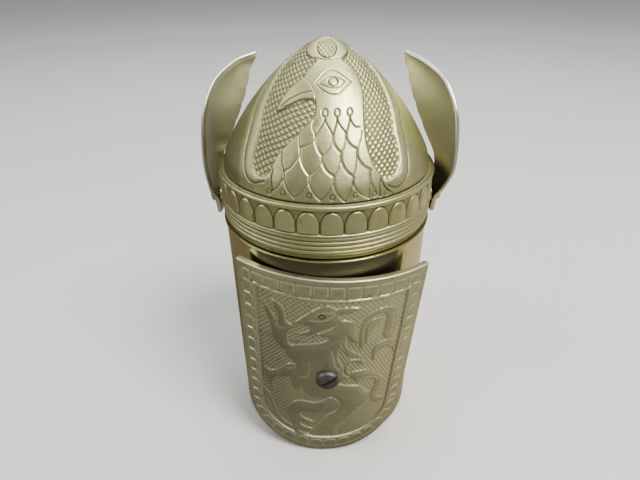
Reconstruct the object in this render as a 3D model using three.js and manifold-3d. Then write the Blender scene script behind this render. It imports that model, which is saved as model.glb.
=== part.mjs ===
// A lidded brass canister: a round body with a curved shield screwed to its front, a lift-out cup
// inside it, and a lid shaped as a pointed helmet with a wing standing up at each side.
// Millimetres, +Z up. The origin is the centre of the underside. The shield faces -Y.
import * as THREE from "three";
import { mergeVertices } from "three/addons/utils/BufferGeometryUtils.js";
import Module from "manifold-3d";

// Driving dimensions
const GAP = 0.3; // between faces that touch
const SEGMENTS = 48; // round the large turned pieces
const SMALL_SEGMENTS = 20; // round the fasteners

const RIM_HEIGHT = 72; // top of the body's lip above the table
const BODY_RADIUS = 28.5;
const BODY_WALL = 1.2;
const LIP_RADIUS = 29;
const LIP_HEIGHT = 0.4;
const BODY_FOOT = 0.8; // the tube's lower edge above the table
const PAD_THICKNESS = 1.5;
const PAD_RADIUS = 26.8;
const DISC_THICKNESS = 1.5;

const CUP_RADIUS = 22.5;
const CUP_WALL = 0.8;
const CUP_LIP_RADIUS = 24.6;
const CUP_LIP_HEIGHT = 1.6;
const CUP_TOP = RIM_HEIGHT - 4;
const CUP_CORNER = 3;

const SHIELD_THICKNESS = 1.45;
const SHIELD_BACK = BODY_RADIUS + 0.35; // the back face's distance from the body's axis
const SHIELD_BEND = 37.05; // radius of the back face
const SHIELD_TOP = 33.6; // the top edge above the screw
const SHIELD_FOOT = -33.1; // the lowest point below the screw
const SHIELD_TOP_HALF = 27;
const SHIELD_SIDE_HALF = 25.4;
const SHIELD_SHOULDER = -14; // where the straight sides turn into the round foot
const SHIELD_FOOT_POWER = 2.2;
const SHIELD_TILT = 2.5; // degrees, the shield's lean on its single screw
const SCREW_HEIGHT = RIM_HEIGHT - 38.4;

const SCREW_SHANK = 1.6;
const SCREW_HEAD = 3.2;
const SCREW_HEAD_HEIGHT = 1.8;
const SLOT_WIDTH = 0.9;
const SLOT_DEPTH = 0.9;
const SLOT_ANGLE = 35;
const WASHER_RADIUS = 4;
const WASHER_THICKNESS = 0.6;
const NUT_FLATS = 5.5;
const NUT_THICKNESS = 2.4;

const COLLAR_RADIUS = 27;
const COLLAR_WALL = 0.9;
const COLLAR_BELOW_RIM = 8;
const COLLAR_ABOVE_RIM = 9.5;

const BAND_INNER = BODY_RADIUS - BODY_WALL;
const BAND_NECK = 28.1; // the dark cove under the reeds
const REED_COUNT = 4;
const REED_PITCH = 1.25;
const REED_BASE = 1.6; // the lowest reed above the rim
const REED_VALLEY = 28.4;
const REED_CREST = 28.85;
const PETAL_GROUND = 28.5;
const BEAD_BASE = 13.1;
const BEAD_TOP = 14.4;
const BEAD_RADIUS = 29;

const DOME_WALL = 1.1;
const DOME_SKIRT = 4.5; // the dome's neck inside the band
// The dome's outer outline: radius, height above the rim
const DOME_OUTLINE = [
  [27.5, 14.7],
  [26.3, 19],
  [21.6, 26.9],
  [16, 33.8],
  [10.2, 39.4],
  [4.8, 43.2],
  [1.8, 44.7],
  [0, 45.1],
];

const WING_THICKNESS = 1.3;
const WING_CAMBER = 1.6;
const WING_STEM = 0.2; // the flat share of the wing's length
const WING_LEAN = 0.9; // both wings are bent this far towards +X above the band
const WING_LEAN_HEIGHT = 14;
// A wing's outer face, from the foot of its stem to its tip: distance from the middle plane of the
// object, distance behind the body's axis, height above the rim
const WING_LEADING_EDGE = [
  [31.2, -1.6, -1.3],
  [31.3, -2.6, 3],
  [32, -5.2, 7.4],
  [32.8, -7, 13.9],
  [32.3, -7.5, 22],
  [31.3, -6, 29.2],
  [28.8, -1, 35.4],
  [24.6, 5, 38.7],
  [20.4, 9.6, 40.3],
];
const WING_TRAILING_EDGE = [
  [31.2, 1.6, -1.3],
  [31.2, 2.6, 3],
  [31.2, 3.6, 7.2],
  [30.7, 6.6, 13.4],
  [27.4, 8.9, 20.5],
  [24.7, 9.7, 26.5],
  [23, 10.2, 31],
  [21.5, 10.3, 36],
  [20, 10.4, 40.1],
];
const RIVET_ABOVE_RIM = 3.8;
const RIVET_SHANK = 1;
const RIVET_HEAD = 1.9;
const RIVET_HEAD_HEIGHT = 1;
const WING_PAD_RADIUS = 2.4;
const BURR_RADIUS = 2.6;
const BURR_THICKNESS = 0.5;
const BURR_FACE = 25.8; // the burr's outer face from the middle plane

const wasm = await Module();
wasm.setup();

const brass = { color: 0xa39a62, roughness: 0.42, metalness: 1 };
const polished = { color: 0xb5a35a, roughness: 0.22, metalness: 1 };
const steel = { color: 0x57535c, roughness: 0.4, metalness: 1 };
const tin = { color: 0xc8c6be, roughness: 0.3, metalness: 1 };
const felt = { color: 0x2c4a38, roughness: 0.95, metalness: 0 };

// Closed geometry to a solid that can be joined and cut
function solid(geometry) {
  const bare = geometry.clone();
  bare.deleteAttribute("normal");
  bare.deleteAttribute("uv");
  const merged = mergeVertices(bare, 1e-4);
  const vertProperties = new Float32Array(merged.attributes.position.array);
  const triVerts = new Uint32Array(merged.index.array);
  return new wasm.Manifold(new wasm.Mesh({ numProp: 3, vertProperties, triVerts }));
}

// A solid back to geometry
function geometryOf(body) {
  const mesh = body.getMesh();
  const positions = new Float32Array(mesh.numVert * 3);
  for (let i = 0; i < mesh.numVert; i++) {
    positions.set(mesh.vertProperties.subarray(i * mesh.numProp, i * mesh.numProp + 3), i * 3);
  }
  const geometry = new THREE.BufferGeometry();
  geometry.setAttribute("position", new THREE.BufferAttribute(positions, 3));
  geometry.setIndex(new THREE.BufferAttribute(mesh.triVerts, 1));
  geometry.computeVertexNormals();
  return geometry;
}

function piece(name, geometry, look) {
  const mesh = new THREE.Mesh(geometry, new THREE.MeshStandardMaterial(look));
  mesh.name = name;
  return mesh;
}

// A turned solid about +Z. The outline goes round counter-clockwise in radius and height.
function turned(outline, segments = SEGMENTS) {
  const points = outline.map(([radius, height]) => new THREE.Vector2(radius, height));
  return new THREE.LatheGeometry(points, segments).rotateX(Math.PI / 2);
}

// A plain ring or tube between two radii and two heights
function ring(inner, outer, low, high, segments = SEGMENTS) {
  return turned(
    [
      [inner, low],
      [outer, low],
      [outer, high],
      [inner, high],
      [inner, low],
    ],
    segments,
  );
}

function disc(radius, low, high, segments = SEGMENTS) {
  return turned(
    [
      [0, low],
      [radius, low],
      [radius, high],
      [0, high],
    ],
    segments,
  );
}

// A round bar along -Y at the screw's height, between two distances in front of the body's axis
function frontBar(radius, near, far) {
  return disc(radius, near, far, SMALL_SEGMENTS).rotateX(Math.PI / 2).translate(0, 0, SCREW_HEIGHT);
}

// A round bar along +X or -X at the rivet's height, between two distances from the middle plane
function sideBar(side, radius, near, far) {
  return disc(radius, near, far, SMALL_SEGMENTS)
    .rotateY((side * Math.PI) / 2)
    .translate(0, 0, RIM_HEIGHT + RIVET_ABOVE_RIM);
}

function footPad() {
  return disc(PAD_RADIUS, 0, PAD_THICKNESS);
}

function baseDisc() {
  const low = PAD_THICKNESS + GAP;
  return disc(BODY_RADIUS - BODY_WALL - GAP, low, low + DISC_THICKNESS);
}

// The tube with its turned-out lip, and the hole that the shield's screw goes through
function bodyTube() {
  const inner = BODY_RADIUS - BODY_WALL;
  const tube = turned([
    [inner, BODY_FOOT],
    [BODY_RADIUS, BODY_FOOT],
    [BODY_RADIUS, RIM_HEIGHT - 2 * LIP_HEIGHT],
    [LIP_RADIUS, RIM_HEIGHT - LIP_HEIGHT],
    [LIP_RADIUS, RIM_HEIGHT],
    [inner, RIM_HEIGHT],
    [inner, BODY_FOOT],
  ]);
  const hole = frontBar(SCREW_SHANK + GAP, inner - 5, BODY_RADIUS + 5);
  return geometryOf(solid(tube).subtract(solid(hole)));
}

// A beaker with rounded lower corners and a rolled lip
function innerCup() {
  const foot = PAD_THICKNESS + DISC_THICKNESS + 2 * GAP;
  const inner = CUP_RADIUS - CUP_WALL;
  const outline = [[0, foot]];
  const steps = 4;
  for (let i = 0; i <= steps; i++) {
    const angle = (i / steps) * (Math.PI / 2);
    const out = CUP_RADIUS - CUP_CORNER + CUP_CORNER * Math.sin(angle);
    outline.push([out, foot + CUP_CORNER - CUP_CORNER * Math.cos(angle)]);
  }
  outline.push(
    [CUP_RADIUS, CUP_TOP - CUP_LIP_HEIGHT],
    [CUP_LIP_RADIUS, CUP_TOP - CUP_LIP_HEIGHT / 2],
    [CUP_LIP_RADIUS, CUP_TOP - 0.2],
    [CUP_LIP_RADIUS - 0.4, CUP_TOP],
    [inner, CUP_TOP],
  );
  const innerCorner = CUP_CORNER - CUP_WALL;
  for (let i = steps; i >= 0; i--) {
    const angle = (i / steps) * (Math.PI / 2);
    const out = inner - innerCorner + innerCorner * Math.sin(angle);
    outline.push([out, foot + CUP_WALL + innerCorner - innerCorner * Math.cos(angle)]);
  }
  outline.push([0, foot + CUP_WALL]);
  return turned(outline);
}

// The shield's half width at a height measured from its screw
function shieldHalfWidth(height) {
  if (height >= SHIELD_SHOULDER) {
    const rise = (height - SHIELD_SHOULDER) / (SHIELD_TOP - SHIELD_SHOULDER);
    return SHIELD_SIDE_HALF + (SHIELD_TOP_HALF - SHIELD_SIDE_HALF) * rise;
  }
  const drop = (SHIELD_SHOULDER - height) / (SHIELD_SHOULDER - SHIELD_FOOT);
  return SHIELD_SIDE_HALF * (1 - drop ** SHIELD_FOOT_POWER) ** (1 / SHIELD_FOOT_POWER);
}

// Closed plate between two faces, each given as rows of points with the same count
function plate(front, back) {
  const rows = front.length;
  const columns = front[0].length;
  const positions = [...front, ...back].flat().flatMap((point) => point.toArray());
  const index = [];
  const at = (face, row, column) => (face * rows + row) * columns + column;
  const quad = (a, b, c, d) => index.push(a, b, c, a, c, d);
  for (let r = 0; r < rows - 1; r++) {
    for (let c = 0; c < columns - 1; c++) {
      quad(at(0, r, c), at(0, r, c + 1), at(0, r + 1, c + 1), at(0, r + 1, c));
      quad(at(1, r + 1, c), at(1, r + 1, c + 1), at(1, r, c + 1), at(1, r, c));
    }
    const last = columns - 1;
    quad(at(0, r, 0), at(0, r + 1, 0), at(1, r + 1, 0), at(1, r, 0));
    quad(at(0, r + 1, last), at(0, r, last), at(1, r, last), at(1, r + 1, last));
  }
  for (let c = 0; c < columns - 1; c++) {
    const last = rows - 1;
    quad(at(0, 0, c + 1), at(0, 0, c), at(1, 0, c), at(1, 0, c + 1));
    quad(at(0, last, c), at(0, last, c + 1), at(1, last, c + 1), at(1, last, c));
  }
  const geometry = new THREE.BufferGeometry();
  geometry.setAttribute("position", new THREE.Float32BufferAttribute(positions, 3));
  geometry.setIndex(index);
  geometry.computeVertexNormals();
  return geometry;
}

// The curved plate with its screw hole, upright, before it leans
function shieldPlate() {
  const rows = 20;
  const columns = 15;
  const centre = SHIELD_BEND - SHIELD_BACK;
  const front = [];
  const back = [];
  for (let r = 0; r < rows; r++) {
    // Rows come closer together towards the round foot.
    const turn = (r / (rows - 1)) * (Math.PI / 2);
    const height = SHIELD_FOOT + 0.15 + (SHIELD_TOP - SHIELD_FOOT - 0.15) * (1 - Math.cos(turn));
    const half = shieldHalfWidth(height);
    const frontRow = [];
    const backRow = [];
    for (let c = 0; c < columns; c++) {
      const across = half * ((2 * c) / (columns - 1) - 1);
      const angle = across / (SHIELD_BEND + SHIELD_THICKNESS);
      const point = (radius) =>
        new THREE.Vector3(radius * Math.sin(angle), centre - radius * Math.cos(angle), height);
      frontRow.push(point(SHIELD_BEND + SHIELD_THICKNESS));
      backRow.push(point(SHIELD_BEND));
    }
    front.push(frontRow);
    back.push(backRow);
  }
  const hole = frontBar(SCREW_SHANK + GAP, SHIELD_BACK - 5, SHIELD_BACK + 10);
  hole.translate(0, 0, -SCREW_HEIGHT);
  return geometryOf(solid(plate(front, back)).subtract(solid(hole)));
}

// Domed slotted head and plain shank
function shieldScrew() {
  const seat = SHIELD_BACK + SHIELD_THICKNESS + GAP;
  const tip = BODY_RADIUS - BODY_WALL - 4.3;
  const outline = [
    [0, tip],
    [SCREW_SHANK, tip],
    [SCREW_SHANK, seat],
    [SCREW_HEAD, seat],
  ];
  const edge = 0.7; // the straight edge under the dome
  const steps = 5;
  for (let i = 0; i <= steps; i++) {
    const angle = (i / steps) * (Math.PI / 2);
    const rise = (SCREW_HEAD_HEIGHT - edge) * Math.sin(angle);
    outline.push([i === steps ? 0 : SCREW_HEAD * Math.cos(angle), seat + edge + rise]);
  }
  const body = turned(outline, SMALL_SEGMENTS * 2);
  const slot = new THREE.BoxGeometry(3 * SCREW_HEAD, SLOT_WIDTH, 2 * SLOT_DEPTH);
  slot.rotateZ(THREE.MathUtils.degToRad(SLOT_ANGLE)).translate(0, 0, seat + SCREW_HEAD_HEIGHT);
  const cut = geometryOf(solid(body).subtract(solid(slot)));
  return cut.rotateX(Math.PI / 2).translate(0, 0, SCREW_HEIGHT);
}

function shieldWasher() {
  const face = BODY_RADIUS - BODY_WALL - 2 * GAP;
  const washer = frontBar(WASHER_RADIUS, face - WASHER_THICKNESS, face);
  const hole = frontBar(SCREW_SHANK + GAP, face - 5, face + 5);
  return geometryOf(solid(washer).subtract(solid(hole)));
}

function shieldNut() {
  const face = BODY_RADIUS - BODY_WALL - 3 * GAP - WASHER_THICKNESS;
  const corner = NUT_FLATS / Math.sqrt(3);
  const hex = disc(corner, face - NUT_THICKNESS, face, 6);
  hex.rotateX(Math.PI / 2).translate(0, 0, SCREW_HEIGHT);
  const hole = frontBar(SCREW_SHANK + GAP, face - 8, face + 5);
  return geometryOf(solid(hex).subtract(solid(hole)));
}

// The two holes for the wings' rivets
function withRivetHoles(geometry) {
  const hole = (side) => solid(sideBar(side, RIVET_SHANK + GAP, BURR_FACE - 5, BURR_FACE + 10));
  return geometryOf(solid(geometry).subtract(hole(1)).subtract(hole(-1)));
}

function lidCollar() {
  const low = RIM_HEIGHT - COLLAR_BELOW_RIM;
  return withRivetHoles(
    ring(COLLAR_RADIUS - COLLAR_WALL, COLLAR_RADIUS, low, RIM_HEIGHT + COLLAR_ABOVE_RIM),
  );
}

// A cove at the foot, four reeds, the petal ground and a bead at the top
function crownBand() {
  const outline = [
    [BAND_INNER, RIM_HEIGHT + GAP],
    [BAND_NECK, RIM_HEIGHT + GAP],
    [BAND_NECK, RIM_HEIGHT + REED_BASE - 0.2],
  ];
  for (let reed = 0; reed < REED_COUNT; reed++) {
    const low = RIM_HEIGHT + REED_BASE + reed * REED_PITCH;
    outline.push(
      [REED_VALLEY, low],
      [REED_CREST, low + REED_PITCH * 0.3],
      [REED_CREST, low + REED_PITCH * 0.7],
    );
  }
  const reedTop = RIM_HEIGHT + REED_BASE + REED_COUNT * REED_PITCH;
  outline.push(
    [PETAL_GROUND, reedTop],
    [PETAL_GROUND, RIM_HEIGHT + BEAD_BASE],
    [BEAD_RADIUS, RIM_HEIGHT + BEAD_BASE + 0.3],
    [BEAD_RADIUS, RIM_HEIGHT + BEAD_TOP - 0.4],
    [BEAD_RADIUS - 0.5, RIM_HEIGHT + BEAD_TOP],
    [BAND_INNER, RIM_HEIGHT + BEAD_TOP],
    [BAND_INNER, RIM_HEIGHT + GAP],
  );
  return withRivetHoles(turned(outline));
}

// A pointed dome of even wall with a short neck that drops inside the band
function helmetDome() {
  const curve = new THREE.SplineCurve(DOME_OUTLINE.map(([x, y]) => new THREE.Vector2(x, y)));
  const outer = curve.getPoints(12);
  outer[outer.length - 1].x = 0;
  const inner = outer.map((point, i) => {
    const before = outer[Math.max(i - 1, 0)];
    const after = outer[Math.min(i + 1, outer.length - 1)];
    const along = after.clone().sub(before).normalize();
    return new THREE.Vector2(point.x - along.y * DOME_WALL, point.y + along.x * DOME_WALL);
  });
  const neck = BAND_INNER - GAP;
  const seat = BEAD_TOP + GAP;
  const outline = [
    [neck - DOME_WALL, seat - DOME_SKIRT],
    [neck, seat - DOME_SKIRT],
    [neck, seat],
  ];
  for (const point of outer) outline.push([point.x, point.y]);
  outline.push([0, outer[outer.length - 1].y - DOME_WALL * 1.3]);
  for (const point of inner.slice(1, -2).reverse()) outline.push([point.x, point.y]);
  outline.push([neck - DOME_WALL, seat + 1], [neck - DOME_WALL, seat - DOME_SKIRT]);
  return turned(outline.map(([radius, height]) => [radius, RIM_HEIGHT + height]));
}

// A leaf-shaped plate, cupped towards the dome, with its rivet hole
function wing(side) {
  const along = 20;
  const across = 6;
  const curve = (points) => new THREE.CatmullRomCurve3(points.map((p) => new THREE.Vector3(...p)));
  const leading = curve(WING_LEADING_EDGE);
  const trailing = curve(WING_TRAILING_EDGE);
  const outward = new THREE.Vector3(0.94, 0.34, 0);
  const surface = (t, u) => {
    const point = leading.getPoint(t).lerp(trailing.getPoint(t), u);
    const leaf = Math.max(t - WING_STEM, 0) / (1 - WING_STEM);
    const camber = WING_CAMBER * Math.sin(Math.PI * leaf) * 4 * u * (1 - u);
    return point.addScaledVector(outward, camber);
  };
  const step = 1e-3;
  const normal = (t, u) => {
    const upward = surface(Math.min(t + step, 1), u).sub(surface(Math.max(t - step, 0), u));
    const backward = surface(t, Math.min(u + step, 1)).sub(surface(t, Math.max(u - step, 0)));
    return backward.cross(upward).normalize();
  };
  const place = (point) => {
    const lean = WING_LEAN * THREE.MathUtils.smoothstep(point.z, RIVET_ABOVE_RIM, WING_LEAN_HEIGHT);
    return new THREE.Vector3(side * point.x + lean, point.y, RIM_HEIGHT + point.z);
  };
  const outer = [];
  const inner = [];
  for (let i = 0; i <= along; i++) {
    const t = i / along;
    const outerRow = [];
    const innerRow = [];
    for (let j = 0; j <= across; j++) {
      const u = j / across;
      const point = surface(t, u);
      outerRow.push(place(point));
      innerRow.push(place(point.clone().addScaledVector(normal(t, u), -WING_THICKNESS)));
    }
    outer.push(outerRow);
    inner.push(innerRow);
  }
  const leaf = side > 0 ? plate(outer, inner) : plate(inner, outer);
  const hole = sideBar(side, RIVET_SHANK + GAP, BURR_FACE, BURR_FACE + 10);
  return geometryOf(solid(leaf).subtract(solid(hole)));
}

// The stem's flat faces, measured from the middle plane
const STEM_OUTER = WING_LEADING_EDGE[1][0] + 0.1;
const STEM_INNER = STEM_OUTER - WING_THICKNESS;

// The small round block that holds a wing's stem off the reeds
function wingPad(side) {
  const high = STEM_INNER - GAP;
  const pad = sideBar(side, WING_PAD_RADIUS, REED_CREST + GAP, high);
  const hole = sideBar(side, RIVET_SHANK + GAP, BURR_FACE, BURR_FACE + 10);
  return geometryOf(solid(pad).subtract(solid(hole)));
}

function wingRivet(side) {
  const seat = STEM_OUTER + GAP;
  const tail = BURR_FACE - BURR_THICKNESS - 0.2;
  const outline = [
    [0, tail],
    [RIVET_SHANK, tail],
    [RIVET_SHANK, seat],
    [RIVET_HEAD, seat],
  ];
  const steps = 4;
  for (let i = 1; i <= steps; i++) {
    const angle = (i / steps) * (Math.PI / 2);
    const out = i === steps ? 0 : RIVET_HEAD * Math.cos(angle);
    outline.push([out, seat + RIVET_HEAD_HEIGHT * Math.sin(angle)]);
  }
  return turned(outline, SMALL_SEGMENTS)
    .rotateY((side * Math.PI) / 2)
    .translate(0, 0, RIM_HEIGHT + RIVET_ABOVE_RIM);
}

// The ring inside the collar that the rivet's tail is hammered over
function wingBurr(side) {
  const burr = sideBar(side, BURR_RADIUS, BURR_FACE - BURR_THICKNESS, BURR_FACE);
  const hole = sideBar(side, RIVET_SHANK + GAP, BURR_FACE - 5, BURR_FACE + 5);
  return geometryOf(solid(burr).subtract(solid(hole)));
}

const canister = new THREE.Group();
canister.add(
  piece("foot_pad", footPad(), felt),
  piece("base_disc", baseDisc(), brass),
  piece("body_tube", bodyTube(), polished),
  piece("inner_cup", innerCup(), tin),
  piece("shield_screw", shieldScrew(), steel),
  piece("shield_washer", shieldWasher(), steel),
  piece("shield_nut", shieldNut(), steel),
);

const shield = new THREE.Group();
shield.add(piece("shield_plate", shieldPlate(), brass));
shield.position.z = SCREW_HEIGHT;
shield.rotation.y = THREE.MathUtils.degToRad(SHIELD_TILT);
canister.add(shield);

const lid = new THREE.Group();
lid.add(
  piece("lid_collar", lidCollar(), brass),
  piece("crown_band", crownBand(), brass),
  piece("helmet_dome", helmetDome(), brass),
);
for (const [label, side] of [
  ["left", -1],
  ["right", 1],
]) {
  lid.add(
    piece("wing_" + label, wing(side), brass),
    piece("wing_pad_" + label, wingPad(side), brass),
    piece("wing_rivet_" + label, wingRivet(side), brass),
    piece("wing_burr_" + label, wingBurr(side), brass),
  );
}
canister.add(lid);

export default canister;
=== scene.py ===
import math

import bmesh
import bpy
import numpy as np
from mathutils import Matrix, Vector


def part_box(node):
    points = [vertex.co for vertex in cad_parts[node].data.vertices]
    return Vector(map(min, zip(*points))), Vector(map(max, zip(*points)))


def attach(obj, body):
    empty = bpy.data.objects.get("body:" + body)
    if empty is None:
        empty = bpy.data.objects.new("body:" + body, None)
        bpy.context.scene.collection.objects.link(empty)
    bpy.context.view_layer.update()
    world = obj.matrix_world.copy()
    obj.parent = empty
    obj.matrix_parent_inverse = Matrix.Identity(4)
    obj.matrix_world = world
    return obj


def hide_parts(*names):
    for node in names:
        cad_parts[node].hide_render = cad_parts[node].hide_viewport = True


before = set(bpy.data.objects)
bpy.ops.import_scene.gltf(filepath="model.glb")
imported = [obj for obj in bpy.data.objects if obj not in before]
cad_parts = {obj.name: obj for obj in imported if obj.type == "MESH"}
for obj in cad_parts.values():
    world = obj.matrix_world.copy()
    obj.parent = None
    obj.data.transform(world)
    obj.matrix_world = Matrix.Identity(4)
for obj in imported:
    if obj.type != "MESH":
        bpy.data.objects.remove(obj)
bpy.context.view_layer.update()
MM = 0.001


def node_box(node):
    """A CAD node's lowest and highest corners in millimetres."""
    low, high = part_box(node)
    return np.array(low) / MM, np.array(high) / MM


# Sizes read from the frame
RIM = node_box("body_tube")[1][2]
BODY_FOOT = node_box("body_tube")[0][2]
LIP_RADIUS = node_box("body_tube")[1][0]
LIP_WIDTH = 0.5
BODY_RADIUS = LIP_RADIUS - LIP_WIDTH
BODY_WALL = 1.2
PAD_LOW, PAD_HIGH = node_box("foot_pad")
DISC_LOW, DISC_HIGH = node_box("base_disc")
CUP_LOW, CUP_HIGH = node_box("inner_cup")
COLLAR_LOW, COLLAR_HIGH = node_box("lid_collar")
BAND_RADIUS = node_box("crown_band")[1][0]
SCREW_LOW, SCREW_HIGH = node_box("shield_screw")
SCREW_Z = (SCREW_LOW[2] + SCREW_HIGH[2]) / 2

# ---------------------------------------------------------------- curves and reliefs


def curve_through(points, steps=8, closed=False):
    """A smooth Catmull-Rom line through some points."""
    p = np.asarray(points, float)
    if closed:
        p = np.vstack([p[-1], p, p[:2]])
    else:
        p = np.vstack([2 * p[0] - p[1], p, 2 * p[-1] - p[-2]])
    t = (np.arange(steps) / steps)[:, None]
    a, b, c, d = p[:-3, None], p[1:-2, None], p[2:-1, None], p[3:, None]
    square, cube = 2 * a - 5 * b + 4 * c - d, 3 * b - a - 3 * c + d
    line = 0.5 * (2 * b + (c - a) * t + square * t**2 + cube * t**3)
    line = line.reshape(-1, line.shape[-1])
    return np.vstack([line, p[1]]) if closed else np.vstack([line, p[-2]])


def oval(x, y, across, tall, steps=24):
    """A closed ellipse about a point."""
    turn = np.linspace(0, 2 * math.pi, steps + 1)
    return np.stack([x + across * np.cos(turn), y + tall * np.sin(turn)], -1)


def smooth(t):
    """An eased step from 0 where t is under 0 to 1 where it is over 1."""
    t = np.clip(t, 0, 1)
    return t * t * (3 - 2 * t)


MOST_AT_ONCE = 2_000_000  # pairs of points and steps measured at a time


def nearest(points, line):
    """Points' distances from a line, how far along it their nearest places are, its length."""
    start, step = line[:-1], np.diff(line, axis=0)
    length = np.sqrt(np.maximum((step**2).sum(-1), 1e-12))
    before = np.concatenate([[0], np.cumsum(length)])
    found = []
    for some in np.array_split(points, 1 + len(points) * len(step) // MOST_AT_ONCE):
        off = some[:, None] - start
        share = np.clip((off * step).sum(-1) / length**2, 0, 1)
        gap = ((off - share[..., None] * step) ** 2).sum(-1)
        best = np.arange(len(some)), gap.argmin(1)
        found.append((np.sqrt(gap[best]), before[best[1]] + share[best] * length[best[1]]))
    distance, along = (np.concatenate(part) for part in zip(*found))
    return distance, along, before[-1]


class Panel:
    """A relief on an unrolled sheet: x to the right, y up, height along the sheet's normal.

    The widths of its lines are half the widths cut. A shade over 0 darkens, one under 0 bares.
    """

    LINE_STEPS = 6  # pieces between two points of an engraved line
    WANDER = 0.12  # how far hatching strays from straight

    def __init__(self, x, y):
        self.x, self.y = x, y
        self.lift = np.zeros_like(x)  # raised and sunk areas
        self.cut = np.zeros_like(x)  # depth of the deepest engraved line
        self.dark = np.zeros_like(x)  # dark patina and painted shade, from 0 to 1
        self.worn = np.zeros_like(x)  # bare bright metal and painted highlights, from 0 to 1

    def darken(self, tone):
        self.dark = np.maximum(self.dark, tone)

    def bare(self, tone):
        self.worn = np.maximum(self.worn, tone)

    def sink(self, depth):
        self.cut = np.maximum(self.cut, depth)

    def near(self, line, reach):
        """Which points lie in the box round a line, grown by a reach."""
        low, high = line.min(0) - reach, line.max(0) + reach
        x, y = self.x, self.y
        return np.nonzero((x > low[0]) & (x < high[0]) & (y > low[1]) & (y < high[1]))

    def distance(self, at, line):
        """Distance of the chosen points from a line."""
        return nearest(np.stack([self.x[at], self.y[at]], -1), line)[0]

    def mark(self, at, shade, share):
        """Darkens some points, or bares their metal."""
        kept = self.dark if shade > 0 else self.worn
        kept[at] = np.maximum(kept[at], abs(shade) * share)

    def groove(self, line, width=0.3, depth=0.2, shade=1.0):
        """An engraved line."""
        at = self.near(line, width)
        share = np.clip(1 - self.distance(at, line) / width, 0, 1)
        self.cut[at] = np.maximum(self.cut[at], depth * share**1.2)
        self.mark(at, shade, smooth(share * 1.7 - 0.35))

    def stroke(self, points, width=0.3, depth=0.2, shade=1.0):
        """An engraved line drawn smoothly through some points."""
        self.groove(curve_through(points, self.LINE_STEPS), width, depth, shade)

    def ridge(self, points, width, lift):
        """A raised round line drawn smoothly through some points."""
        line = curve_through(points, self.LINE_STEPS)
        at = self.near(line, width)
        share = np.clip(1 - (self.distance(at, line) / width) ** 2, 0, 1)
        self.lift[at] = np.maximum(self.lift[at], lift * share**0.7)

    def inside(self, outline, margin):
        """Each point's distance inside a closed outline, below 0 outside it."""
        at = self.near(outline, margin)
        x, y = self.x[at][:, None], self.y[at][:, None]
        a, b = outline[:-1], outline[1:]
        rise = np.where(b[:, 1] == a[:, 1], 1e-9, b[:, 1] - a[:, 1])
        crosses = ((a[:, 1] > y) != (b[:, 1] > y)) & (
            x < a[:, 0] + (y - a[:, 1]) * (b[:, 0] - a[:, 0]) / rise
        )
        sign = np.where(crosses.sum(1) % 2 == 1, 1.0, -1.0)
        found = np.full_like(self.x, -margin)
        found[at] = sign * self.distance(at, outline)
        return found

    def area(self, outline, bevel):
        """From 0 outside a closed outline to 1 inside it, across a bevel."""
        return smooth(0.5 + self.inside(outline, bevel) / bevel)

    def hatch(self, where, angle, pitch, width, depth, shade):
        """Parallel engraved lines at an angle in degrees, within a soft mask."""
        turn = math.radians(angle)
        across = -self.x * math.sin(turn) + self.y * math.cos(turn)
        along = self.x * math.cos(turn) + self.y * math.sin(turn)
        across = across + self.WANDER * np.sin(along * 0.55 + across * 0.21)
        off = np.abs((across / pitch) % 1 - 0.5) * pitch
        share = np.clip(1 - off / width, 0, 1) * where
        self.sink(depth * share)
        at = np.nonzero(share)
        self.mark(at, shade, smooth(share * 1.6 - 0.2)[at])

    def height(self):
        return self.lift - self.cut

    def tone(self):
        """The point attribute of the brass material."""
        return self.dark - self.worn


# ---------------------------------------------------------------- meshes


def mesh_object(name, points, faces, tarnish_wear_and_painted_light=None, sharp_over=None):
    """A closed object from points in millimetres, its faces outwards.

    Its darkening and brightening, from dirt, wear and painted light and shade, are a point
    attribute, and creases over an angle in degrees are sharp.
    """
    mesh = bpy.data.meshes.new(name)
    mesh.from_pydata((np.asarray(points) * MM).tolist(), [], faces)
    mesh.validate()
    mesh.polygons.foreach_set("use_smooth", np.ones(len(mesh.polygons), bool))
    values = np.zeros(len(mesh.vertices), np.float32)
    if tarnish_wear_and_painted_light is not None:
        values[: len(tarnish_wear_and_painted_light)] = tarnish_wear_and_painted_light
    mesh.attributes.new("tarnish_wear_and_painted_light", "FLOAT", "POINT").data.foreach_set("value", values)
    mesh.update()
    work = bmesh.new()
    work.from_mesh(mesh)
    bmesh.ops.recalc_face_normals(work, faces=work.faces)
    work.to_mesh(mesh)
    work.free()
    if sharp_over:
        mesh.set_sharp_from_angle(angle=math.radians(sharp_over))
    made = bpy.data.objects.new(name, mesh)
    bpy.context.scene.collection.objects.link(made)
    return made


def quads(rows, columns, wrap_rows=False, wrap_columns=False, first=0):
    """Faces of a grid of points stored row by row."""
    r = np.arange(rows if wrap_rows else rows - 1)[:, None]
    c = np.arange(columns if wrap_columns else columns - 1)[None]
    r2, c2 = (r + 1) % rows, (c + 1) % columns
    corners = [r * columns + c, r * columns + c2, r2 * columns + c2, r2 * columns + c]
    return (np.stack(np.broadcast_arrays(*corners), -1).reshape(-1, 4) + first).tolist()


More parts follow.
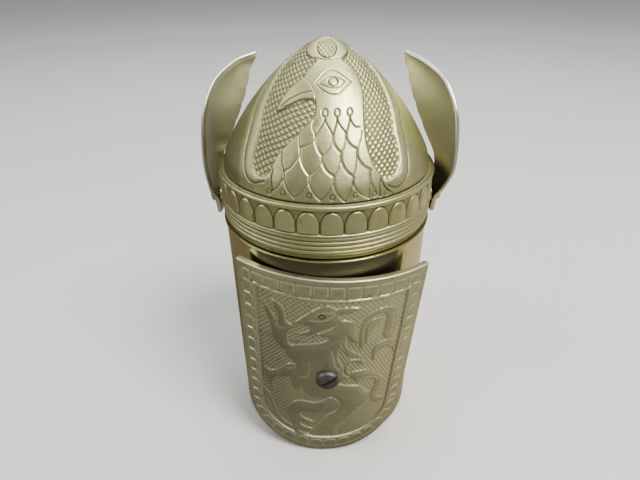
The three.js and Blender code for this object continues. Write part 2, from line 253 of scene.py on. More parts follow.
def turned(name, outline, segments=160, sharp_over=35):
    """A solid turned about +Z. The outline goes round counter-clockwise in radius and height."""
    outline = np.asarray(outline, float)
    turn = np.arange(segments) * (2 * math.pi / segments)
    poles = outline[:, 0] < 1e-6
    ring = outline[~poles]
    points = np.vstack([
        np.stack([r * np.cos(turn), r * np.sin(turn), np.full(segments, z)], -1) for r, z in ring
    ])
    faces = quads(len(ring), segments, wrap_rows=not poles.any(), wrap_columns=True)
    faces = [face[::-1] for face in faces]
    if poles.any():
        last = (len(ring) - 1) * segments
        points = np.vstack([points, [0, 0, outline[0][1]], [0, 0, outline[-1][1]]])
        for i in range(segments):
            j = (i + 1) % segments
            faces.append((len(points) - 2, i, j))
            faces.append((len(points) - 1, last + j, last + i))
    return mesh_object(name, points, faces, sharp_over=sharp_over)


MOST_OF_A_SIDE = 0.45  # what one corner's bend may take of the sides beside it
LONG_SIDE = 0.3  # a bend shorter than this share of a side gets a point that holds the side flat


def rounded(outline, radius=0.3, steps=4):
    """An outline with each corner that is off the axis replaced by an arc-like bend."""
    p = np.asarray(outline, float)
    result = []
    for i, corner in enumerate(p):
        if corner[0] < 1e-6:
            result.append(corner)
            continue
        before, after = p[i - 1] - corner, p[(i + 1) % len(p)] - corner
        sides = np.linalg.norm(before), np.linalg.norm(after)
        reach = min(radius, sides[0] * MOST_OF_A_SIDE, sides[1] * MOST_OF_A_SIDE)
        a, b = corner + before / sides[0] * reach, corner + after / sides[1] * reach
        if reach < sides[0] * LONG_SIDE:
            result.append(corner + before / sides[0] * reach * (1 + LONG_SIDE))
        for t in np.linspace(0, 1, steps + 1):
            result.append((1 - t) ** 2 * a + 2 * t * (1 - t) * corner + t * t * b)
        if reach < sides[1] * LONG_SIDE:
            result.append(corner + after / sides[1] * reach * (1 + LONG_SIDE))
    return np.array(result)


def ring(inner, outer, low, high):
    """The outline of a plain ring or, with no inner radius, of a disc."""
    return [(inner, low), (outer, low), (outer, high), (inner, high)]


def around(radius, turn, height):
    """Points at turns from the front about +Z, at heights above the rim."""
    across, ahead = radius * np.sin(turn), -radius * np.cos(turn)
    return np.stack(np.broadcast_arrays(across, ahead, RIM + height), -1)


def cut_with(made, tool):
    """Takes one object out of another, and removes the tool."""
    modifier = made.modifiers.new("cut", "BOOLEAN")
    modifier.operation = "DIFFERENCE"
    modifier.solver = "EXACT"
    modifier.object = tool
    depsgraph = bpy.context.evaluated_depsgraph_get()
    mesh = bpy.data.meshes.new_from_object(made.evaluated_get(depsgraph))
    made.modifiers.clear()
    made.data = mesh
    bpy.data.objects.remove(tool)


def tone_by_place(made, tone):
    """Sets a finished mesh's point attribute for darkening and brightening from its points' places
    in millimetres.
    """
    mesh = made.data
    points = np.empty(len(mesh.vertices) * 3, np.float32)
    mesh.vertices.foreach_get("co", points)
    x, y, z = points.reshape(-1, 3).T / MM
    values = np.asarray(tone(x, y, z), np.float32)
    mesh.attributes["tarnish_wear_and_painted_light"].data.foreach_set("value", values)


def move(made, matrix):
    """Moves a piece's points."""
    made.data.transform(matrix)
    made.data.update()
    return made


def finish_piece(made, body, slot, material, *nodes):
    """Puts a piece on its body, in place of its CAD nodes."""
    made.data.materials.clear()
    made.data.materials.append(material)
    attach(made, body)
    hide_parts(*nodes)
    return made


# ---------------------------------------------------------------- materials


class Look:
    """Shorthand for the nodes of a material or a world."""

    def __init__(self, owner, shader="Principled BSDF", coordinates="Object"):
        owner.use_nodes = True
        self.tree = owner.node_tree
        self.shader = self.tree.nodes[shader]
        self.place = self.node("ShaderNodeTexCoord").outputs[coordinates]

    def node(self, kind, **values):
        made = self.tree.nodes.new(kind)
        for key, value in values.items():
            setattr(made, key, value)
        return made

    def link(self, source, target):
        self.tree.links.new(source, target)

    def feed(self, socket, value):
        """Links a socket to another, or sets its value or colour."""
        if isinstance(value, bpy.types.NodeSocket):
            self.link(value, socket)
        elif isinstance(value, tuple):
            socket.default_value = (*value, 1)
        else:
            socket.default_value = value

    def set(self, name, value):
        self.feed(self.shader.inputs[name], value)

    def noise(self, scale, detail=3.0, rough=0.5, stretch=None, warp=0.0):
        """Noise of a given number of features a metre."""
        made = self.node("ShaderNodeTexNoise")
        keys = ("Scale", "Detail", "Roughness", "Distortion")
        for key, number in zip(keys, (scale, detail, rough, warp)):
            made.inputs[key].default_value = number
        place = self.place
        if stretch:
            mapping = self.node("ShaderNodeMapping")
            mapping.inputs["Scale"].default_value = stretch
            self.link(place, mapping.inputs["Vector"])
            place = mapping.outputs["Vector"]
        self.link(place, made.inputs["Vector"])
        return made.outputs["Fac"]

    def ramp(self, value, low, high, start=0.0, end=1.0):
        """Maps a value from one range to another, clamped."""
        made = self.node("ShaderNodeMapRange")
        self.link(value, made.inputs["Value"])
        keys = ("From Min", "From Max", "To Min", "To Max")
        for key, number in zip(keys, (low, high, start, end)):
            made.inputs[key].default_value = number
        return made.outputs["Result"]

    def math(self, kind, a, b):
        made = self.node("ShaderNodeMath", operation=kind)
        for socket, value in zip(made.inputs, (a, b)):
            self.feed(socket, value)
        return made.outputs["Value"]

    def times(self, a, b):
        return self.math("MULTIPLY", a, b)

    def blend(self, share, a, b):
        """A colour between two colours."""
        made = self.node("ShaderNodeMix", data_type="RGBA")
        self.link(share, made.inputs["Factor"])
        self.feed(made.inputs[6], a)
        self.feed(made.inputs[7], b)
        return made.outputs[2]

    def split(self):
        """Where a point is along X, Y and Z."""
        made = self.node("ShaderNodeSeparateXYZ")
        self.link(self.place, made.inputs["Vector"])
        return made.outputs

    def tarnish_wear_and_painted_light(self):
        return self.node("ShaderNodeAttribute", attribute_name="tarnish_wear_and_painted_light").outputs["Fac"]

    def bump(self, height, distance, below=None):
        made = self.node("ShaderNodeBump")
        made.inputs["Distance"].default_value = distance * MM
        made.inputs["Strength"].default_value = 1.0
        self.link(height, made.inputs["Height"])
        if below:
            self.link(below, made.inputs["Normal"])
        return made.outputs["Normal"]


DARK_TARNISH_AND_SHADE = (0.045, 0.038, 0.022)
BARE_AND_HIGHLIGHT_BRASS = (0.86, 0.80, 0.50)
CLOUDED_ROUGHER = 0.12  # how much rougher the brass is under its clouds of tarnish
LINES_ROUGHER = 0.25  # and in its dark lines


def brass(
    name, clean, aged, rough, cloud, grain=0.03, scratch=0.02, specks=0.35, bare=BARE_AND_HIGHLIGHT_BRASS,
    dark=DARK_TARNISH_AND_SHADE,
):
    """Brass with darker clouds of age, dark in its engraved lines, with fine pits and scratches.

    Over 0 its point attribute darkens it, with dirt and painted shade, and under 0 brightens it,
    with bare metal and painted highlights.
    """
    material = bpy.data.materials.new(name)
    look = Look(material)
    clouds = look.ramp(look.noise(90, 5, 0.6, warp=0.6), 0.36, 0.66)
    spots = look.ramp(look.noise(700, 2, 0.5), 0.62, 0.74)
    colour = look.blend(look.times(clouds, cloud), clean, aged)
    spotted = look.blend(look.times(spots, specks), colour, dark)
    mark = look.tarnish_wear_and_painted_light()
    # Over 0 the attribute gives dark lines, dirt and painted shade; under 0, bare metal and painted
    # highlights.
    lines, worn = look.ramp(mark, 0, 1), look.ramp(mark, 0, -1)
    tarnished_and_shaded = look.blend(lines, spotted, dark)
    look.set("Base Color", look.blend(worn, tarnished_and_shaded, bare))
    look.set("Metallic", 1.0)
    streaks = look.noise(900, 2, 0.5, stretch=(1, 1, 0.06))
    clouded = look.ramp(clouds, 0, 1, rough, rough + CLOUDED_ROUGHER)
    roughness = look.math("ADD", clouded, look.times(lines, LINES_ROUGHER))
    look.set("Roughness", look.math("ADD", roughness, look.ramp(streaks, 0.3, 0.7, -0.03, 0.03)))
    pits = look.bump(look.noise(1500, 3, 0.6), grain)
    scratches = look.noise(2600, 1, 0.5, stretch=(0.2, 0.2, 1))
    look.set("Normal", look.bump(scratches, scratch, below=pits))
    return material


def steel(name):
    """Dull dark steel with a brushed face and brown specks."""
    material = bpy.data.materials.new(name)
    look = Look(material)
    wear = look.ramp(look.noise(400, 4, 0.6), 0.35, 0.7)
    colour = look.blend(wear, (0.10, 0.09, 0.09), (0.20, 0.18, 0.18))
    rust = look.ramp(look.noise(900, 3, 0.6), 0.6, 0.72)
    look.set("Base Color", look.blend(look.times(rust, 0.5), colour, (0.06, 0.03, 0.02)))
    look.set("Metallic", 1.0)
    look.set("Roughness", look.ramp(wear, 0, 1, 0.62, 0.5))
    look.set("Normal", look.bump(look.noise(3000, 3, 0.6, stretch=(1, 1, 0.3)), 0.04))
    return material


def tinning(name):
    """Satin tin wiped on hot, with soft clouds and fine wipe marks round the cup."""
    material = bpy.data.materials.new(name)
    look = Look(material)
    clouds = look.ramp(look.noise(60, 4, 0.55, warp=0.8), 0.35, 0.7)
    look.set("Base Color", look.blend(clouds, (0.70, 0.69, 0.66), (0.52, 0.51, 0.49)))
    look.set("Metallic", 1.0)
    wipes = look.noise(300, 3, 0.6, stretch=(1, 1, 7))
    look.set("Roughness", look.ramp(wipes, 0.3, 0.7, 0.24, 0.42))
    look.set("Normal", look.bump(wipes, 0.02))
    return material


def felt(name):
    """Green wool felt with a tangle of short fibres."""
    material = bpy.data.materials.new(name)
    look = Look(material)
    tangle = look.noise(2200, 5, 0.75, warp=1.5)
    tone = look.ramp(look.noise(260, 3, 0.6), 0.3, 0.7)
    colour = look.blend(tone, (0.028, 0.075, 0.05), (0.05, 0.115, 0.08))
    look.set("Base Color", look.blend(look.ramp(tangle, 0.55, 0.8), colour, (0.10, 0.17, 0.13)))
    look.set("Roughness", 0.95)
    look.set("Sheen Weight", 0.4)
    look.set("Normal", look.bump(tangle, 0.25))
    return material


CAST_BRASS = brass("cast_brass", (0.62, 0.60, 0.28), (0.45, 0.435, 0.245), 0.33, cloud=0.8)
SHIELD_BRASS = brass("shield_brass", (0.54, 0.52, 0.32), (0.40, 0.385, 0.25), 0.36, cloud=0.85)
# Its dark colour shows in fine specks and in the painted shade on the tube behind the shield.
BODY_BRASS = brass(
    "body_brass", (0.65, 0.59, 0.31), (0.52, 0.47, 0.24), 0.10, cloud=0.5, grain=0.004,
    scratch=0.003, specks=0.1, dark=(0.040, 0.042, 0.034),
)
# Its bare colour shows on worn edges and as the painted sheen on the wings' inner faces.
WING_BRASS = brass(
    "wing_brass", (0.64, 0.61, 0.35), (0.49, 0.46, 0.26), 0.30, cloud=0.8, grain=0.01,
    bare=(0.74, 0.745, 0.71),
)
SHEET_BRASS = brass(
    "sheet_brass", (0.62, 0.56, 0.28), (0.44, 0.40, 0.20), 0.28, cloud=0.6, grain=0.01
)
DARK_STEEL = steel("dark_steel")
TIN = tinning("tin")
FELT = felt("felt")

# ---------------------------------------------------------------- canister body


# Painted shade on the tube behind the shield: its darkness, how far it reaches and its fade
PAINTED_SHADE_TONE = 0.88
PATCH_REACH = 40.5  # degrees to each side of the front
PATCH_EDGE = 3.5  # degrees across which it fades
LIP_DEPTH = 0.42
SCREW_HOLE = 1.9  # radius


def painted_shade_behind_shield(x, y, z):
    """Painted shade on the tube where the shield stands close before it."""
    turn = np.degrees(np.arctan2(x, -y))
    outside = np.hypot(x, y) > BODY_RADIUS - 0.3
    fade = smooth((PATCH_REACH - np.abs(turn)) / PATCH_EDGE) * smooth((RIM - 0.3 - z) / 0.3)
    return PAINTED_SHADE_TONE * fade * outside


def canister_pieces():
    """The polished tube with its rolled lip, the base disc and the felt under it."""
    inner = BODY_RADIUS - BODY_WALL
    lip = [(BODY_RADIUS, RIM - LIP_DEPTH - 0.04), (LIP_RADIUS, RIM - LIP_DEPTH)]
    lip += [(LIP_RADIUS, RIM), (inner, RIM)]
    wall = [(BODY_RADIUS, z) for z in np.linspace(BODY_FOOT + 3, RIM - 3, 17)]
    shape = rounded([(inner, BODY_FOOT), (BODY_RADIUS, BODY_FOOT), *wall, *lip], 0.18)
    tube = turned("body_tube_polished", shape, 192)
    reach = SCREW_HIGH[1] - SCREW_LOW[1] + 10
    drill = turned("drill", ring(0, SCREW_HOLE, 0, reach), 32)
    cut_with(tube, toward_front(drill, 20))
    finish_piece(tube, "canister", "brass_body", BODY_BRASS, "body_tube")
    tube.data.set_sharp_from_angle(angle=math.radians(35))
    # The tube behind the shield is darkened as painted shade.
    tone_by_place(tube, painted_shade_behind_shield)

    disc = ring(0, DISC_HIGH[0], DISC_LOW[2], DISC_HIGH[2])
    disc = turned("base_disc_turned", rounded(disc, 0.3), 128)
    finish_piece(disc, "canister", "brass_base", SHEET_BRASS, "base_disc")

    radius, low, high = PAD_HIGH[0], PAD_LOW[2], PAD_HIGH[2]
    pad = [(0, low), (radius / 2, low), (radius, low)]
    pad += [(r, high) for r, _ in reversed(pad)]
    pad = turned("foot_pad_felt", rounded(pad, 0.6, 6), 128, sharp_over=None)
    finish_piece(pad, "canister", "felt", FELT, "foot_pad")


def cup_piece():
    """The tinned beaker with a rolled lip and a soft lower corner."""
    radius, foot, top = 22.5, CUP_LOW[2], CUP_HIGH[2]
    wall, lip = 0.8, CUP_HIGH[0]
    outer = [(0, foot + 0.5), (radius * 0.55, foot + 0.25), (radius - 6, foot), (radius, foot)]
    rim = [(radius, top - 1.6), (lip, top - 1.4), (lip, top), (radius - wall, top)]
    inner = [(radius - wall, foot + wall), (radius - 6, foot + wall), (0, foot + wall + 0.5)]
    outline = rounded(outer + rim + inner, 2.2, 8)
    cup = turned("inner_cup_tinned", outline, 160, sharp_over=50)
    finish_piece(cup, "cup", "tinned_cup", TIN, "inner_cup")


# ---------------------------------------------------------------- screw, washer, nut


def toward_front(made, distance=0.0):
    """Turns a piece made along +Z to lie along -Y at the screw's height."""
    turn = Matrix.Rotation(math.pi / 2, 4, "X")
    return move(made, Matrix.Translation((0, -distance * MM, SCREW_Z * MM)) @ turn)


SLOT_WIDTH, SLOT_DEPTH, SLOT_TURN = 0.9, 0.9, 35
SHANK = 1.6  # radius


def screw_pieces():
    """The slotted pan-head screw, and its washer and nut inside the tube."""
    seat, face, tip = 30.6, -SCREW_LOW[1], -SCREW_HIGH[1]
    radius = (SCREW_HIGH[0] - SCREW_LOW[0]) / 2
    head = [(SHANK, tip), (SHANK, seat), (radius - 0.25, seat), (radius, seat + 0.3)]
    head += [(radius, seat + 0.75), (radius * 0.86, face - 0.42), (radius * 0.55, face - 0.1)]
    outline = [(0, tip), *head, (0, face)]
    body = turned("shield_screw_slotted", rounded(outline, 0.22), 96, sharp_over=None)
    bpy.ops.mesh.primitive_cube_add(size=1)
    slot = bpy.context.object
    move(slot, Matrix.Diagonal((12 * MM, SLOT_WIDTH * MM, 2 * SLOT_DEPTH * MM, 1)))
    turn = Matrix.Rotation(math.radians(SLOT_TURN), 4, "Z")
    move(slot, Matrix.Translation((0, 0, face * MM)) @ turn)
    cut_with(body, slot)
    worn = body.modifiers.new("worn_edges", "BEVEL")
    worn.width, worn.segments, worn.angle_limit = 0.09 * MM, 2, math.radians(40)
    body.data.set_sharp_from_angle(angle=math.radians(40))
    toward_front(body)
    finish_piece(body, "canister", "screw_steel", DARK_STEEL, "shield_screw")

    for node, name, segments in (
        ("shield_washer", "shield_washer_plain", 64),
        ("shield_nut", "shield_nut_hex", 6),
    ):
        low, high = node_box(node)
        near, far, axis = -high[1], -low[1], 0 if segments == 6 else 2
        outer = (high[axis] - low[axis]) / 2
        shape = rounded(ring(SCREW_HOLE, outer, near, far), 0.15, 2)
        made = turned(name, shape, segments, sharp_over=30)
        finish_piece(toward_front(made), "canister", "screw_steel", DARK_STEEL, node)


# ---------------------------------------------------------------- shield

SHIELD_MARGIN = 1.9  # plain metal outside the border
SHIELD_FRAME = 5.5  # the border's inner line
# The border's blocks: where the first one starts, how far apart they are, and where the sides end
TOP_BLOCK, TOP_PITCH = -22.1, 4.21
TOP_LEFT_BLOCK, LEFT_PITCH, LEFT_END = 28.5, 4.08, -17.5
TOP_RIGHT_BLOCK, RIGHT_PITCH, RIGHT_END = 28.9, 3.86, -15.5
FOOT_PITCH = 4.75
BORDER_SAG = 0.85
SHIELD_TOP, SHIELD_SHOULDER, SHIELD_FOOT = 33.6, -14.0, -33.1  # heights from the screw
SHIELD_HALF = 25.4  # half its width at the shoulder, where the sides end
SHIELD_FLARE = 1.6  # how much wider each half is at the top
FOOT_ROUNDNESS = 2.2  # the power of the foot's super-ellipse
SHIELD_BEND = 38.5  # radius of the front face
SHIELD_FRONT = 30.3  # the front face's distance from the body's axis
SHIELD_THICKNESS = 1.45
SHIELD_TILT = 2.5


def shield_half_width(y):
    """Half the shield's width at heights measured from its screw."""
    rise = (y - SHIELD_SHOULDER) / (SHIELD_TOP - SHIELD_SHOULDER)
    straight = SHIELD_HALF + SHIELD_FLARE * rise
    drop = np.clip((SHIELD_SHOULDER - y) / (SHIELD_SHOULDER - SHIELD_FOOT), 0, 1)
    round_foot = SHIELD_HALF * (1 - drop**FOOT_ROUNDNESS) ** (1 / FOOT_ROUNDNESS)
    return np.where(y >= SHIELD_SHOULDER, straight, round_foot)


def shield_edge():
    """The shield's outline, from the middle of the top round to the right and back."""
    y = SHIELD_TOP - (SHIELD_TOP - SHIELD_FOOT) * np.sin(np.linspace(0, math.pi / 2, 90))
    half = shield_half_width(y)
    right = np.stack([half, y], -1)
    left = right[::-1] * (-1, 1)
    top = np.array([[0, SHIELD_TOP]])
    return np.vstack([top, right, left[1:], top])


# The griffin on the shield, in millimetres right of and above the screw
HEAD = [
    (7.6, 24.8), (5.6, 24), (3.3, 23.4), (2, 23.2), (1.8, 22.4), (1.8, 21.1), (1, 19.7),
    (-0.7, 18.4), (-2.3, 17.6), (-3.5, 16.7), (-4.4, 16.1), (-5.8, 15.6), (-7.4, 15.1),
    (-8.4, 15), (-8.1, 15.7), (-6.9, 16.4), (-5.7, 17.2), (-5.3, 18.2), (-5.9, 18.8),
    (-7.2, 18.8), (-8.4, 18.5), (-9.5, 18.4), (-9.5, 19), (-8.6, 20.1), (-7, 21.7), (-6, 22.8),
    (-4, 24.5), (-2.6, 25.4), (-1.1, 25.8), (0.2, 25.4), (0.9, 24.8), (2.3, 25.2), (4.2, 25.3),
]
BODY = [
    (2.2, 21.2), (4.2, 21), (5.8, 20.2), (6.5, 18.2), (6.8, 15.8), (7.8, 12.8), (5.6, 13.5),
    (4.5, 14.8), (4.2, 13.2), (5.2, 10.8), (9.4, 7.2), (6, 8.1), (3.8, 10), (3, 11.2), (2.4, 9.2),
    (2.7, 6.6), (4.2, 3.4), (4.2, 1.4), (6, -0.4), (4, -1.4), (3.2, -2.5), (6.4, -3.6),
    (9.6, -4.5), (11.2, -6.2), (12.6, -8.6), (11.8, -11.4), (9.8, -14.2), (7.6, -17),
    (5.2, -19.4), (3.2, -21.6), (2.6, -25.2), (-1.4, -25.4), (-1.7, -22.4), (-0.9, -19.2),
    (0.8, -16.4), (3.2, -14.4), (4.1, -12), (3.4, -9.7), (1.4, -8.3), (-2, -8.4), (-4.6, -8),
    (-6.2, -6.3), (-7.3, -3.6), (-8, -0.4), (-8.6, 3), (-9.6, 5), (-11.6, 6.4), (-11.8, 8.8),
    (-10.3, 10.6), (-7.9, 11.7), (-4.7, 12.5), (-2.1, 13.3), (-0.8, 14.1), (-0.5, 15.2),
    (-2.2, 15.7), (-3.6, 16), (-2.2, 16.8), (-0.7, 17.6), (0.9, 18.9), (1.9, 20.6),
]
HIND_LEG = [
    (-11.4, -16.1), (-10.9, -14.1), (-9.7, -12.2), (-7.9, -10.9), (-6.4, -10.7), (-4, -10.9),
    (-2, -10.6), (0, -9.4), (0.8, -8.6), (2.3, -8.7), (3.5, -9.8), (4, -11.4), (3.5, -13.1),
    (2, -14.4), (0.2, -15.1), (-2.1, -15.3), (-4.5, -15.2), (-6.3, -15.2), (-7.3, -15.9),
    (-7.5, -17), (-6.7, -18.1), (-5, -18.9), (-3.1, -19.7), (-4.9, -20.4), (-6.8, -20.2),
    (-7.5, -20.9), (-7, -21.8), (-5.5, -22.5), (-3.3, -23.2), (-5.2, -23.9), (-7.2, -23.9),
    (-7.9, -24.8), (-6.7, -25.6), (-4.4, -26), (-6.7, -26.6), (-8.6, -26.2), (-9.3, -24.6),
    (-9.9, -21.2), (-10.9, -18.7),
]
RAISED_LEG = [
    (-10.1, 9), (-12.9, 9.2), (-14.9, 11), (-15.9, 13.8), (-16.4, 16.6), (-17.2, 19.2),
    (-18, 21.4), (-19.2, 23.8), (-17.3, 22.4), (-15.8, 20.3), (-14.9, 18.5), (-13.9, 17.5),
    (-13.9, 19.2), (-14.3, 21.3), (-15.2, 23.3), (-16, 24.8), (-13.9, 24.4), (-12.8, 23),
    (-12.3, 20.9), (-11.9, 19.1), (-10.9, 18.3), (-9.6, 18), (-8.9, 17.6), (-10, 17.1),
    (-11.1, 16.1), (-11.5, 14.5), (-11.4, 12.4), (-10.9, 11.2), (-9.8, 10.6),
]
FORE_LEG = [
    (-8.4, 3.4), (-9.6, 3.9), (-11.5, 3.4), (-13, 1.7), (-14.6, 0), (-16, -1), (-17.4, -1.2),
    (-19, -0.8), (-18.6, -3), (-18.3, -4.9), (-17.3, -7.4), (-15.8, -9.5), (-16, -6.8), (-16, -5),
    (-15.3, -3.8), (-13.4, -2.5), (-11.5, -1.7), (-10.5, -1.8), (-10.2, -3.8), (-9.5, -5.7),
    (-8.5, -6.3), (-7.6, -4.2), (-7, -2), (-7.8, -0.6),
]
WING_HOOK = [
    (8.5, 10.4), (8, 13.1), (7.9, 15.7), (8.1, 18.5), (8.9, 21.1), (10.7, 22.8), (12.8, 23.8),
    (15.1, 23.8), (17.2, 22.7), (18.1, 21), (18.3, 18.1), (18.2, 15.6), (18.3, 13), (16.8, 12.3),
    (14.9, 13.6), (14.8, 15.2), (15.1, 17.4), (15.2, 19.9), (14.7, 21.6), (13.3, 22.2),
    (11.1, 21.6), (9.5, 20), (8.9, 17.7), (9, 15.2), (9.4, 12.2),
]
WING_CURL = [
    (12.3, 6.1), (12.2, 8.8), (12.9, 10.8), (14.6, 11.7), (16.9, 11.4), (18.8, 9.8), (19.6, 7.9),
    (19.4, 5.6), (18.4, 7.7), (17.2, 8.9), (15.6, 9.3), (14.3, 8.5), (13.4, 6.9), (13.3, 5),
]
WING_FEATHER = [
    (9.7, 12.1), (9.5, 15.1), (9.6, 17.5), (10.3, 19.6), (11.5, 20.5), (12.8, 20.7), (13.5, 19.3),
    (13.1, 17.9), (11.5, 16.8), (10.5, 15.2), (10.2, 12.8),
]
WING_ROOT = [
    (6.8, 1.7), (9.1, 2), (11.2, 1.7), (13.2, 0.3), (14.5, -1.8), (12.2, -1.3), (9.5, -1.6),
    (7.4, -1.4), (6.4, 0.2),
]
SPIRAL = [
    (9.6, 4.9), (8.7, 5.7), (7.6, 6.1), (6.2, 6.1), (5.3, 5.3), (4.9, 3.8), (5.1, 2.2),
    (6.1, 0.8), (7.6, 0.2),
]
BRANCH = [
    (-19.3, -10.4), (-17.4, -12.1), (-16.3, -15.6), (-15, -19.1), (-13.2, -21.6), (-10.9, -23),
    (-9.4, -23.6),
]
TAIL = [
    (8.6, -1.6), (11, -1.2), (13.2, -1.4), (14.9, -2.8), (15.4, -5.2), (14.7, -7.8),
    (14.4, -10.4), (15.6, -12.6), (17.4, -13),
]
GRIFFIN_LINES = [
    [(-4.3, 16.2), (-2.3, 17.2), (-0.7, 18), (0.9, 19.3), (1.9, 20.9), (1.9, 22.8)],  # cheek
    [(-9, 19), (-8, 19.1), (-7.2, 19.6)],  # nostril
    [(2.1, 21.1), (3.9, 21.1), (5.5, 20.5), (6.3, 19.4), (6.6, 17.6), (7.2, 15.2)],  # mane
    [(4.2, 15.9), (4.8, 14.6), (6, 13.4), (7.7, 12.6)],
    [(2.9, 13), (3.6, 11.5), (4.8, 9.8), (7.2, 8.2)],
    [(0.6, 10.6), (1.2, 8.8), (1.7, 6.6), (2, 4.8), (3.4, 3.4)],
    [(-5, 6), (-5.1, 4), (-5.2, 1.6), (-6, 0.2), (-7.6, -0.5)],  # shoulder
    [(-11.6, 2.2), (-10.2, 2.4), (-9, 3.1)],
    [(3.2, -2.6), (5, -3.3), (8, -3.9), (9.7, -4.5), (10.9, -5.8), (11.8, -7.6)],
    [(-5.4, -8.9), (-4, -9.8), (-2, -9.9), (-0.4, -9.2), (0.8, -8.2), (2.6, -8.2)],
    [(2.6, -8.8), (3.8, -10), (4.2, -11.8), (3.4, -13.8), (1.2, -15.8)],  # haunch
    [(17.3, 20.6), (17.4, 18), (17.2, 14.6)],
    [(10.2, 17.4), (11, 19), (12.4, 19.8)],
    [(13.4, 9.4), (14.8, 10.6), (16.6, 10.4), (18.2, 9)],
    [(9.4, -1.4), (12, -1.1), (14, -1.7), (15.2, -3)],
    [(-15.2, 17.8), (-14.1, 17), (-12.8, 16.8), (-11, 17.2), (-9.2, 17.8)],
    [(-19.7, -15.4), (-18.3, -15.9), (-16.5, -17.2)],  # leaves by the branch
    [(-18.4, -20.7), (-16.6, -19.9), (-14.9, -20.1)],
    [(-19.7, 21.7), (-18.7, 20.2)],
    [(-19.8, 18.7), (-18.6, 16.9)],
]
EYELIDS = [
    [(-4.3, 22.3), (-3.4, 23.3), (-2.5, 23.7), (-1.2, 23.7), (0.4, 23.7)],
    [(-5.5, 20.9), (-3.9, 20.8), (-2.4, 21), (-0.9, 21.7), (0.6, 23.3)],
]
FIGURE_MARGIN = 3.0  # how far outside the griffin distances from it are kept
BLOCK_ROUNDNESS = 2.6
# Heights of the relief: the plain rim, the blocks, the gaps between them and the griffin's ground
RIM_LIFT, BLOCK_LIFT, GAP_SINK, GROUND_SINK = 0.1, 0.14, 0.2, 0.2
# The griffin's edge rises by a step, and its middle is crowned
STEP_LIFT, CROWN_LIFT, CROWN_REACH = 0.12, 0.24, 2.2
EDGE_WEAR = 0.35  # radius of the worn long edge
CHASED = (0.27, 0.22)  # half width and depth of the ground's strokes
CHASED_DEEP = (0.27, 0.24)
HATCH_TOP = 11  # above this height the ground is crosshatched


def from_edge(panel):
    """Each point's distance from the shield's edge and place along it from the foot's middle.

    The last value says whether the top is nearest.
    """
    points = np.stack([panel.x.ravel(), panel.y.ravel()], -1)
    depth, along, whole = nearest(points, shield_edge())
    depth, along = depth.reshape(panel.x.shape), along.reshape(panel.x.shape)
    near_top = SHIELD_TOP - panel.y <= depth + 1e-6
    # The border is a little deeper in the middle of the top.
    sag = BORDER_SAG * np.clip(1 - (panel.x / 21) ** 2, 0, 1) * near_top
    depth = depth - sag * smooth((depth - SHIELD_MARGIN) / (SHIELD_FRAME - SHIELD_MARGIN + sag))
    return depth, along - whole / 2, near_top


def block_shape(panel, depth, along, near_top):
    """1 on the edges of the border's blocks and less inside them."""
    # Blocks are counted along the top, down each side, and round the foot from the left.
    down = np.where(
        panel.x < 0,
        (TOP_LEFT_BLOCK - panel.y) / LEFT_PITCH,
        (TOP_RIGHT_BLOCK - panel.y) / RIGHT_PITCH,
    )
    count = np.where(panel.y > np.where(panel.x < 0, LEFT_END, RIGHT_END), down, along / FOOT_PITCH)
    count = np.where(near_top, (panel.x - TOP_BLOCK) / TOP_PITCH, count)
    # Their outer corners are square and their inner ones round.
    middle = (SHIELD_MARGIN + SHIELD_FRAME - 0.5) / 2
    across = (depth - middle) / (middle - SHIELD_MARGIN)
    beside = np.abs(count % 1 - 0.5) * 2
    inner = np.clip(across, 0, None)
    shape = (beside**BLOCK_ROUNDNESS + inner**BLOCK_ROUNDNESS) ** (1 / BLOCK_ROUNDNESS)
    return np.maximum(shape, -across)


def griffin_shape(panel):
    """Each point's distance inside the griffin's broad parts, and the whole griffin's mask."""
    within = np.full_like(panel.x, -FIGURE_MARGIN)
    for outline in (
        HEAD, BODY, HIND_LEG, RAISED_LEG, FORE_LEG, WING_HOOK, WING_FEATHER, WING_CURL, WING_ROOT
    ):
        outline = curve_through(outline, 5, closed=True)
        within = np.maximum(within, panel.inside(outline, FIGURE_MARGIN))
    figure = smooth(0.5 + within / 0.5)
    for line, width in ((SPIRAL, 0.5), (BRANCH, 0.35), (TAIL, 0.95)):
        line = curve_through(line, 5)
        near = panel.near(line, width + 0.4)
        share = smooth((width + 0.3 - panel.distance(near, line)) / 0.6)
        figure[near] = np.maximum(figure[near], share)
    return within, figure


def chase_ground(panel, ground, within):
    """Crosshatches the ground above, and hatches it one way between the limbs."""
    x, y = panel.x, panel.y
    high = smooth((y - HATCH_TOP) / 3)
    left = smooth(-x / 2)
    lower = (1 - high) * ground
    # Low on the right only a fringe of short strokes follows the leg.
    plain = smooth((x - 2) / 2) * smooth((-8 - y) / 2) * smooth((-1.6 - within) / 0.9)
    panel.hatch(high * ground, 42, 1.08, *CHASED_DEEP, -0.95)
    panel.hatch(high * ground, -44, 1.08, *CHASED_DEEP, -0.95)
    panel.hatch(lower * left, 50, 0.95, *CHASED, -0.75)
    panel.hatch(lower * left * smooth((x + 12.5) / 1.5), -48, 1.05, 0.25, 0.16, -0.45)
    panel.hatch(lower * (1 - left) * (1 - plain), -58, 0.95, *CHASED, -0.85)
    panel.bare(0.3 * plain * ground)


